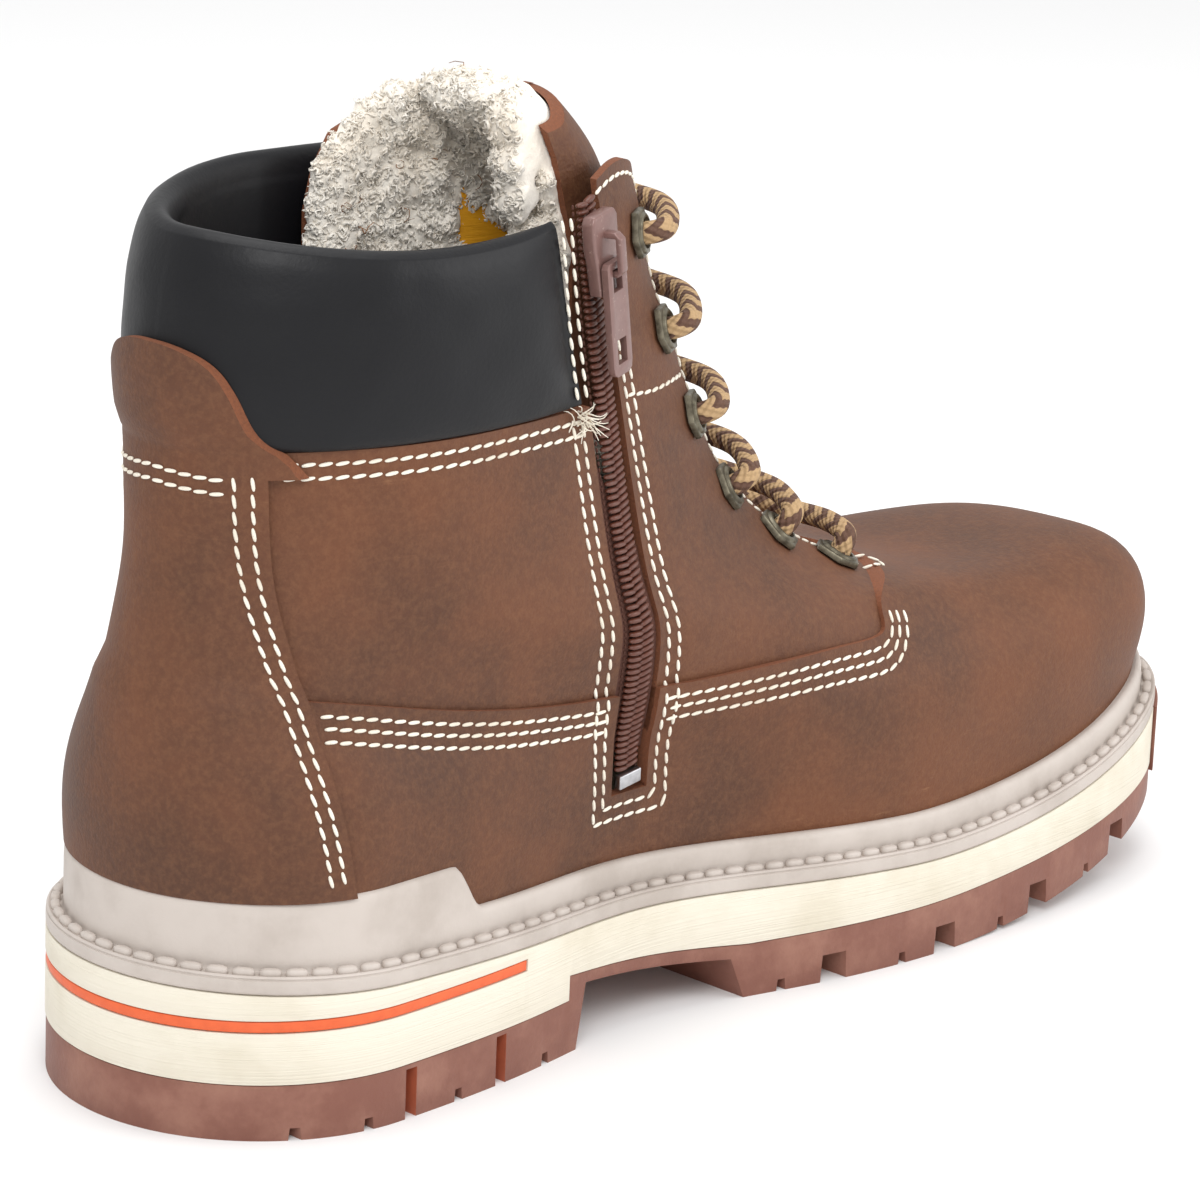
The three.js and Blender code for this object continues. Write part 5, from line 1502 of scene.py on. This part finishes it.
def curls(name, count, seed, finish, thick, sizes):
    """Locks standing off the pile in slightly wild directions."""
    def free_side(middle, normal):
        return (faces_leather(middle, normal) < 0.1) * np.where(middle[:, 2] > 120, 1, 0.15)

    places, normals, chance = scatter(pile, count, free_side, seed)
    points, faces = [], []
    start = 0
    for place, normal in zip(places, normals):
        length, radius = chance.uniform(*sizes[0]), chance.uniform(*sizes[1])
        shape, quads = curl(chance.uniform(0.6, 1.5) * chance.choice([-1, 1]), length, radius,
            thick * chance.uniform(0.75, 1.2))
        up = normal + chance.normal(0, 0.55, 3)
        up /= np.linalg.norm(up)
        side = np.cross(up, chance.normal(0, 1, 3))
        side /= np.linalg.norm(side)
        turn = np.stack([side, np.cross(up, side), up])
        points.append(shape @ turn + place - normal * 0.5)
        faces.extend([[index + start for index in face] for face in quads])
        start += len(shape)
    piece = mesh_piece(name, np.concatenate(points), faces, [finish])
    shade(piece, 180)
    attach(piece, "boot")
    return piece


curls("pile_curls", 4600, 11, pile_finish, 0.6, ((0.6, 1.5), (0.5, 1.1)))
curls("pile_fluff", 4600, 12, pile_finish, 0.32, ((0.7, 1.9), (0.3, 0.85)))
hair_finish = Finish("stray_hair", roughness=0.8)
hair_tone = hair_finish.noise(200, 2)
hair_finish.feed(Base_Color=hair_finish.between(hair_tone, paint(120, 78, 50), paint(160, 112, 74)))
curls("stray_hairs", 26, 13, hair_finish, 0.16, ((2.5, 5.0), (0.8, 2.0)))

# Loose threads: the sewing's white ends stand out in a small tuft where the collar meets the zip.
chance = np.random.default_rng(21)
tuft_x = zip_x(COLLAR_SEAM_Z) - slot_edge - 3
tuft_s, tuft_v = side_places([(tuft_x, COLLAR_SEAM_Z - 2)], -1)
tuft_root, tuft_out = form.face(tuft_s, tuft_v)[0], form.outward(tuft_s, tuft_v)[0]
points, faces, start = [], [], 0
for _ in range(26):
    shape, quads = curl(chance.uniform(0.2, 0.7), chance.uniform(3, 6.5), chance.uniform(0.6, 1.6), 0.22)
    up = tuft_out * 0.7 + chance.normal(0, 0.7, 3)
    up /= np.linalg.norm(up)
    side = np.cross(up, (0.3, 0.9, 0.1))
    side /= np.linalg.norm(side)
    root = tuft_root + tuft_out * 0.3 + chance.normal(0, 1.2, 3) * (1, 0.2, 1)
    points.append(shape @ np.stack([side, np.cross(up, side), up]) + root)
    faces.extend([[index + start for index in face] for face in quads])
    start += len(shape)
tuft = mesh_piece("thread_tuft", np.concatenate(points), faces, [thread])
shade(tuft, 70)
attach(tuft, "boot")

# Label: a plain woven yellow tag, folded at its foot and stitched into the pile by its top.
LABEL_WIDTH = 15.0
LABEL_HEIGHT = 25.0
LABEL_THICK = 0.45
label_finish = Finish("label", roughness=0.7)
label_weave = label_finish.noise(1.0, 2, 0.5, label_finish.scaled(400, 400, 2600))
label_finish.feed(
    Base_Color=label_finish.between(label_weave, paint(243, 176, 26), paint(226, 152, 14)),
    Normal=label_finish.bump(label_weave, 0.0002),
)
label_box = (np.array(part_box("tongue_label")) - np.array(HEEL_SHIFT)) * 1000
label_middle = (label_box[0] + label_box[1]) / 2
gap = LABEL_THICK * 0.55
fold = [(gap * np.cos(a), -LABEL_HEIGHT / 2 + gap + gap * np.sin(a)) for a in np.linspace(0, -np.pi, 9)]
strip = np.array([(gap, z) for z in np.linspace(LABEL_HEIGHT / 2, -LABEL_HEIGHT / 2 + gap, 18)] + fold[1:-1]
                 + [(-gap, z) for z in np.linspace(-LABEL_HEIGHT / 2 + gap, LABEL_HEIGHT / 2, 18)])
ahead = np.gradient(strip, axis=0)
ahead /= np.linalg.norm(ahead, axis=1, keepdims=True)
sideways = np.column_stack([ahead[:, 1], -ahead[:, 0]])
loop = np.concatenate([strip + sideways * LABEL_THICK * 0.45, (strip - sideways * LABEL_THICK * 0.45)[::-1]])
rows = []
for x in np.linspace(-LABEL_WIDTH / 2, LABEL_WIDTH / 2, 16):
    wave = 0.5 * np.sin(x * 0.35 + loop[:, 1] * 0.12) + 0.03 * loop[:, 1]
    rows.append(np.column_stack([np.full(len(loop), x), loop[:, 0] + wave, loop[:, 1]]))
points, faces = tray(rows)
turn = Matrix.Rotation(-0.4, 3, "Z") @ Matrix.Rotation(-0.18, 3, "Y")
label = mesh_piece("tongue_tag", points @ np.array(turn).T + label_middle, faces, [label_finish])
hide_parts("tongue_label")
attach(label, "boot")

# Eyelets: six long hexagon plates a side in old brass, each with a rolled rim round its hole and a barrel
# through the leather.
EYELET_COUNT = 6
EYELET_LENGTH = 12.5
EYELET_WIDTH = 9.5
EYELET_HOLE = 6.0
EYELET_ACROSS = 6.24
EYELET_TOP = THROAT_LENGTH * 1.0626
EYELET_PITCH = THROAT_LENGTH * 0.18323
brass = Finish("old_brass", roughness=0.4, metallic=0.85)
brass_tarnish = brass.noise(420, 4, 0.6)
brass_scratch = brass.noise(1.0, 3, 0.6, brass.scaled(300, 2200, 300))
brass.feed(
    Base_Color=brass.between(brass.ramp(brass_tarnish, 0.35, 0.7), paint(118, 112, 96), paint(76, 70, 58)),
    Roughness=brass_tarnish * 0.3 + brass_scratch * 0.15 + 0.2,
    Normal=brass.bump(brass_scratch, 0.00008, 0.5),
)


def hexagon_reach(angle):
    """How far the plate's edge is from its middle at an angle from its long axis."""
    flat, corner, slope = EYELET_WIDTH / 2, EYELET_LENGTH / 2, EYELET_LENGTH / 2 * 0.58
    side = flat / np.maximum(np.abs(np.sin(angle)), 1e-6)
    point = corner / (np.abs(np.cos(angle)) + slope / flat * np.abs(np.sin(angle)))
    return np.minimum(side, point)


def eyelet_shape(count=60):
    angle = np.arange(count) * 2 * np.pi / count
    edge = hexagon_reach(angle)
    hole = EYELET_HOLE / 2
    profile = [
        (None, -0.2, 0.0), (None, 0.65, 0.0), (None, 0.98, 0.14), (None, 1.1, 0.45),
        (hole + 1.35, 1.12, 0), (hole + 1.15, 1.45, 0), (hole + 0.75, 1.72, 0), (hole + 0.3, 1.68, 0),
        (hole, 1.3, 0), (hole - 0.1, 0.4, 0), (hole - 0.15, -2.2, 0), (hole + 0.3, -2.2, 0),
        (hole + 0.35, -0.2, 0),
    ]
    rows = []
    for radius, height, less in profile:
        reach = edge - less if radius is None else np.full(count, radius)
        rows.append(np.column_stack([reach * np.sin(angle), reach * np.cos(angle), np.full(count, height)]))
    rows = np.array(rows)
    return rows.reshape(-1, 3), grid_faces(len(rows), count, ring=True).tolist()


eyelet_spots = {}
for side in (-1, 1):
    along = EYELET_TOP - EYELET_PITCH * np.arange(EYELET_COUNT)
    s, v = throat_places_of(np.column_stack([throat_half(along) + EYELET_ACROSS, along]), side)
    out = form.outward(s, v)
    up = LACE_LINE - out * (out @ LACE_LINE)[:, None]
    eyelet_spots[side] = (s, v, form.face(s, v), out, up / np.linalg.norm(up, axis=1, keepdims=True))
centres, outs, ups = (np.concatenate([eyelet_spots[side][i] for side in (-1, 1)]) for i in (2, 3, 4))


def set_in(shape, centres, ups, outs, lift=0.0):
    """Copies of a shape with its y along ups and its z along outs."""
    return copies((shape[0][:, (1, 0, 2)] * (1, -1, 1), shape[1]), centres + outs * lift, ups, outs)


hole_turn = np.arange(24) * 2 * np.pi / 24
hole_ring = 3.2 * np.column_stack([np.cos(hole_turn), np.sin(hole_turn)])
hole_rows = [np.column_stack([hole_ring, np.full(24, z)]) for z in (-8.0, 8.0)]
cut(quarters, "DIFFERENCE", set_in(tray(hole_rows), centres, ups, outs), raw_edge)
shade(quarters, 45)
eyelets = mesh_piece("eyelets", *set_in(eyelet_shape(), centres, ups, outs, 0.55), [brass])
shade(eyelets, 40)
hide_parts(*(f"eyelet_{side}_{i + 1}" for side in ("inner", "outer") for i in range(EYELET_COUNT)))
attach(eyelets, "boot")

# Laces: one round braided cord straight across from eyelet to eyelet, six bars, beige with a brown zigzag.
# Each bar comes up out of its hole, bends over the rim and crosses the tongue.
LACE_DIAMETER = 4.8
LACE_LIFT = 5.4
BAR_ROUTE = ((1, -0.35), (1, 0.1), (1, 0.55), (0.95, 0.95), (0.82, 1.05), (0.45, 1.0), (0, 0.9))
lace_finish = Finish("lace", roughness=0.8)
cord_place = lace_finish.node("ShaderNodeTexCoord", {}, {}, "UV")
cord_split = lambda part: lace_finish.node("ShaderNodeSeparateXYZ", {}, {0: cord_place}, part)
along_cord, round_cord = cord_split("X"), cord_split("Y")
zigzag = ((round_cord * 3) % 1.0 - 0.5).size()
bands = ((along_cord * 0.21 + zigzag * 1.1) % 1.0 - 0.5).size()
braid_left = ((along_cord * 0.62 + round_cord * 8) * 6.2832).sine()
braid_right = ((along_cord * 0.62 - round_cord * 8) * 6.2832).sine()
lace_fuzz = lace_finish.noise(1500, 3, 0.6)
is_brown = lace_finish.ramp(bands + braid_left * 0.03, 0.25, 0.29)
lace_tone = lace_finish.between(is_brown, paint(186, 154, 112), paint(78, 46, 36))
lace_finish.feed(
    Base_Color=lace_finish.between(lace_fuzz * 0.35, lace_tone, paint(150, 120, 92)),
    Normal=lace_finish.bump(braid_left * 0.5 + braid_right * 0.5 + lace_fuzz * 0.5, 0.00035, 0.8),
)


def level_across(s, centre, normal):
    """The level at one place where the form crosses a plane through an eyelet."""
    low, high = 5.0, 13.0
    for _ in range(24):
        middle = (low + high) / 2
        if (form.face(s, middle) - centre) @ normal < 0:
            low = middle
        else:
            high = middle
    return low


def cord_tube(line, radius, sides=20):
    """A tube with its length and its turn kept as texture places."""
    points, faces = tube(line, radius, sides)
    at = np.concatenate([[0], np.cumsum(np.linalg.norm(np.diff(line, axis=0), axis=1))])
    places = []
    for face in faces:
        rows = [index // sides for index in face]
        turns = [index % sides for index in face]
        wrap = max(turns) - min(turns) > sides / 2
        turns = [turn + sides * (wrap and turn < sides / 2) for turn in turns]
        places.extend((at[row], turn / sides) for row, turn in zip(rows, turns))
    return points, faces, places


points, faces, places = [], [], []
start = 0
for i in range(EYELET_COUNT):
    ends = [[part[i] for part in eyelet_spots[side][:4]] for side in (-1, 1)]
    v = ends[0][1]
    ridge = form.face(1.0, v + 0.3) - form.face(1.0, v - 0.3)
    normal = ridge / np.linalg.norm(ridge) + (0, 0, 1)
    route = []
    for end, order in ((ends[0], BAR_ROUTE), (ends[1], BAR_ROUTE[-2::-1])):
        for turn_share, up in order:
            if turn_share == 1:
                route.append(end[2] + end[3] * up * LACE_LIFT)
            else:
                s = 1 + turn_share * (end[0] - 1)
                route.append(form.face(s, level_across(s, end[2], normal), up * LACE_LIFT))
    route[0] = route[0] - ends[0][3] * 2.0
    route[-1] = route[-1] - ends[1][3] * 2.0
    line = curved(route, 0.55)
    shape, quads, uv = cord_tube(line, LACE_DIAMETER / 2)
    points.append(shape)
    faces.extend([[index + start for index in face] for face in quads])
    places.extend((along + i * 3.7, turn) for along, turn in uv)
    start += len(shape)
laces = mesh_piece("laces", np.concatenate(points), faces, [lace_finish], smooth=60)
layer_of_places = laces.data.uv_layers.new(name="cord")
layer_of_places.data.foreach_set("uv", np.array(places, float).ravel())
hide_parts(*(f"lace_bar_{i + 1}" for i in range(EYELET_COUNT)))
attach(laces, "boot")

# Zip: a woven tape behind the slot with a closed coil down its middle, sewn on by a thread row each side,
# and a small bright stop clamped over its foot.
COIL_WIDTH = 6.4
COIL_PITCH = 1.45
STOP_UP = 3.2
tape_finish = Finish("zip_tape", roughness=0.85)
tape_weave = tape_finish.noise(1.0, 2, 0.5, tape_finish.scaled(900, 900, 2400))
tape_finish.feed(
    Base_Color=tape_finish.between(tape_weave, paint(62, 34, 26), paint(96, 56, 42)),
    Normal=tape_finish.bump(tape_weave, 0.00025),
)
coil_finish = Finish("zip_coil", roughness=0.42)
coil_tone = coil_finish.noise(500, 3)
coil_finish.feed(
    Base_Color=coil_finish.between(coil_tone, paint(104, 58, 42), paint(78, 42, 32)),
    Roughness=coil_tone * 0.2 + 0.3,
)
tape_gap = 0.4
tape_places = np.linspace(0.28, 0.62, 80)
tape = shell("zip_tape_cloth", tape_places, spaced_levels(4.0, level("top"), 1.6), -1.0, -LEATHER,
    [tape_finish], looped=False)
cut(tape, "INTERSECT", zip_strip(ZIP_WIDTH - 2 * tape_gap, ZIP_FOOT[1] + tape_gap, ZIP_TOP[1] + 2),
    tape_finish)
shade(tape, 45)
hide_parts("zip_tape")
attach(tape, "boot")


def zip_spots(heights, aside=0.0):
    """Points on the form along the zip with their outward and upward directions."""
    s, v = side_places(np.column_stack([zip_x(heights) + aside, heights]), -1)
    out = form.outward(s, v)
    up = np.array([-ZIP_LEAN, 0, 1.0]) - out * (out @ (-ZIP_LEAN, 0, 1.0))[:, None]
    return form.face(s, v), out, up / np.linalg.norm(up, axis=1, keepdims=True)


coil_heights = np.arange(ZIP_FOOT[1] + STOP_UP + 2.2, ZIP_TOP[1] + 1, COIL_PITCH)
places, forward, upward = [], [], []
for aside, shift in ((-1.45, 0.0), (1.45, COIL_PITCH / 2)):
    at, out, up = zip_spots(coil_heights + shift, aside)
    across = np.cross(up, out)
    places.append(at - out * 0.15)
    forward.append(across + up * 0.16 * np.sign(aside))
    upward.append(out)
tooth = pillow(3.9, 1.15, 1.7, 2.6, 10, 7)
teeth = copies(tooth, *(np.concatenate(part) for part in (places, forward, upward)))
coil = mesh_piece("zip_coil", *teeth, [coil_finish])
shade(coil, 70)
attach(coil, "boot")
zip_threads = []
for aside in (-3.75, 3.75):
    heights = np.linspace(ZIP_FOOT[1] + 2, ZIP_TOP[1], 90)
    s, v = side_places(np.column_stack([zip_x(heights) + aside, heights]), -1)
    at, out = form.face(s, v, -0.9), form.outward(s, v)
    zip_threads.append((at, np.gradient(at, axis=0), out))
tape_stitch = pillow(1.15, 0.6, 0.5, 2.4, 6, 5)
sewing = copies(tape_stitch, *(np.concatenate([row[i] for row in zip_threads]) for i in range(3)))
tape_rows = mesh_piece("zip_tape_stitches", *sewing, [tape_finish])
shade(tape_rows, 70)
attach(tape_rows, "boot")

steel = Finish("stop_metal", roughness=0.3, metallic=1.0)
steel_wear = steel.noise(800, 3)
steel.feed(
    Base_Color=steel.between(steel_wear, paint(206, 206, 208), paint(160, 160, 164)),
    Roughness=steel_wear * 0.25 + 0.2,
)


def zip_frame(height, lift):
    """Middle, across, up and out of a part that sits on the zip."""
    at, out, up = (row[0] for row in zip_spots(np.array([height])))
    return at + out * lift, np.cross(up, out), up, out


def plate(name, outline_points, low, high, zip_place, finish, holes=(), bevel=0.3):
    """A bevelled plate in a frame on the zip, with holes cut through it."""
    origin, across, up, out = zip_place
    piece = mesh_piece(name, *prism(outline_points, (across, up, out), origin, low, high), [finish])
    for hole in holes:
        cut(piece, "DIFFERENCE", prism(hole, (across, up, out), origin, low - 1, high + 1), finish)
    return bevelled(piece, bevel, 30, 3)


def oblong(width, low, high):
    return [(-width / 2, low), (width / 2, low), (width / 2, high), (-width / 2, high)]


stop = plate("zip_foot_stop", oblong(COIL_WIDTH, -STOP_UP / 2, STOP_UP / 2), 0, 1.6,
    zip_frame(ZIP_FOOT[1] + STOP_UP, 0.0), steel)
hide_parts("zip_stop")
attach(stop, "boot")

# Slider and pull: cast metal under mauve-brown paint. The slider's bridge holds the pull, a plate with an
# eye and a window, its face left plain; the pull alone swings.
SLIDER_LENGTH = 17.0
SLIDER_WIDTH = 9.6
SLIDER_THICK = 3.0
BRIDGE_HALF = 4.7
BRIDGE_BAR = 1.3
BRIDGE_ROOM = 2.5
BRIDGE_WIDTH = 2.2
PULL_LENGTH = 24.0
PULL_WIDTH = 7.4
PULL_THICK = 1.5
slider_finish = Finish("slider_paint", roughness=0.38, metallic=0.25, Coat_Weight=0.3)
slider_cloud = slider_finish.noise(300, 4, 0.6)
slider_chip = slider_finish.noise(900, 3, 0.7)
slider_worn = slider_finish.ramp(slider_chip, 0.62, 0.7)
slider_tone = slider_finish.between(slider_cloud, paint(134, 102, 96), paint(112, 82, 76))
slider_finish.feed(
    Base_Color=slider_finish.between(slider_worn * 0.5, slider_tone, paint(168, 144, 136)),
    Roughness=slider_cloud * 0.2 + 0.28,
    Normal=slider_finish.bump(slider_cloud, 0.0001),
)
slider_place = zip_frame(ZIP_TOP[1] - SLIDER_LENGTH / 2 - 1, 1.2)
top, wide = SLIDER_LENGTH / 2, SLIDER_WIDTH / 2
slider_side = [(wide * 0.72, -top), (wide * 0.84, -2), (wide, 2), (wide, top - 1.5), (wide * 0.8, top)]
slider_outline = slider_side + [(-x, y) for x, y in slider_side[::-1]]
slider = plate("slider_body", slider_outline, 0, SLIDER_THICK, slider_place, slider_finish, bevel=0.55)
inside = BRIDGE_HALF - BRIDGE_BAR
bridge_outline = [
    (-BRIDGE_HALF, -0.3), (-BRIDGE_HALF, BRIDGE_ROOM), (-inside, BRIDGE_ROOM + BRIDGE_BAR),
    (inside, BRIDGE_ROOM + BRIDGE_BAR), (BRIDGE_HALF, BRIDGE_ROOM), (BRIDGE_HALF, -0.3), (inside, -0.3),
    (inside, BRIDGE_ROOM), (-inside, BRIDGE_ROOM), (-inside, -0.3),
]
origin, across, up, out = slider_place
bridge_shape = prism(bridge_outline, (up, out, across), origin + out * SLIDER_THICK, -BRIDGE_WIDTH / 2,
    BRIDGE_WIDTH / 2)
bridge = bevelled(mesh_piece("slider_bridge", *bridge_shape, [slider_finish]), 0.3, 30, 3)
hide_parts("zip_slider")
for piece in (slider, bridge):
    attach(piece, "boot")

bar_centre = PULL_THICK * 0.72 + 0.2 - inside
pull_height = SLIDER_THICK + 0.4
half = PULL_WIDTH / 2
high = PULL_THICK / 2
low = high - PULL_LENGTH
pull_side = [(half * 0.62, low), (half * 0.9, low + 0.7), (half, low + 2.2), (half, high - 1),
    (half * 0.8, high)]
pull_outline = np.array(pull_side + [(-x, y) for x, y in pull_side[::-1]]) + (0, bar_centre)
eye = np.array(oblong(BRIDGE_WIDTH + 1.4, -high - 4.8, -high)) + (0, bar_centre)
window = np.array(oblong(3.6, low + 2.45, low + 7.65)) + (0, bar_centre)
pull = plate("pull_tab", pull_outline, pull_height, pull_height + PULL_THICK, slider_place, slider_finish,
    [eye, window])
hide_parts("zip_pull")
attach(pull, "zip_pull")

# Sock: a soft cream insole lies inside on the foam.
sock = Finish("sock", roughness=0.95)
sock_pile = sock.noise(600, 4, 0.65)
sock.feed(
    Base_Color=sock.between(sock_pile, paint(214, 203, 184), paint(176, 162, 140)),
    Normal=sock.bump(sock_pile, 0.0008),
)
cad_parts["insole"].data.materials.clear()
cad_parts["insole"].data.materials.append(sock.material)


# Studio: a plain pale floor that runs to the horizon, and soft light from large panels and a pale room.
floor_finish = Finish("floor", roughness=0.9)
floor_finish.shader.inputs["Base Color"].default_value = (0.85, 0.85, 0.85, 1)
floor_mesh = bpy.data.meshes.new("floor")
floor_mesh.from_pydata([(-30, -30, 0), (30, -30, 0), (30, 30, 0), (-30, 30, 0)], [], [(0, 1, 2, 3)])
floor_mesh.materials.append(floor_finish.material)
floor = bpy.data.objects.new("floor", floor_mesh)
bpy.context.scene.collection.objects.link(floor)
world = bpy.data.worlds.new("room")
world.use_nodes = True
world.node_tree.nodes["Background"].inputs["Color"].default_value = (1, 1, 1, 1)
world.node_tree.nodes["Background"].inputs["Strength"].default_value = 0.9
bpy.context.scene.world = world
bpy.context.scene.view_settings.view_transform = "Standard"


def panel_light(name, place, aim, size, power):
    """A square soft light looking at a point."""
    data = bpy.data.lights.new(name, "AREA")
    data.size = size
    data.energy = power
    light = bpy.data.objects.new(name, data)
    bpy.context.scene.collection.objects.link(light)
    light.location = place
    light.rotation_euler = (Vector(aim) - Vector(place)).to_track_quat("-Z", "Y").to_euler()


panel_light("key", (-0.9, -0.9, 1.3), (0, 0, 0.1), 0.8, 12.5)
panel_light("side", (0.9, -1.1, 0.7), (0, 0, 0.08), 0.8, 7)
panel_light("top", (0.1, 0.2, 1.6), (0, 0, 0.1), 1.0, 9)
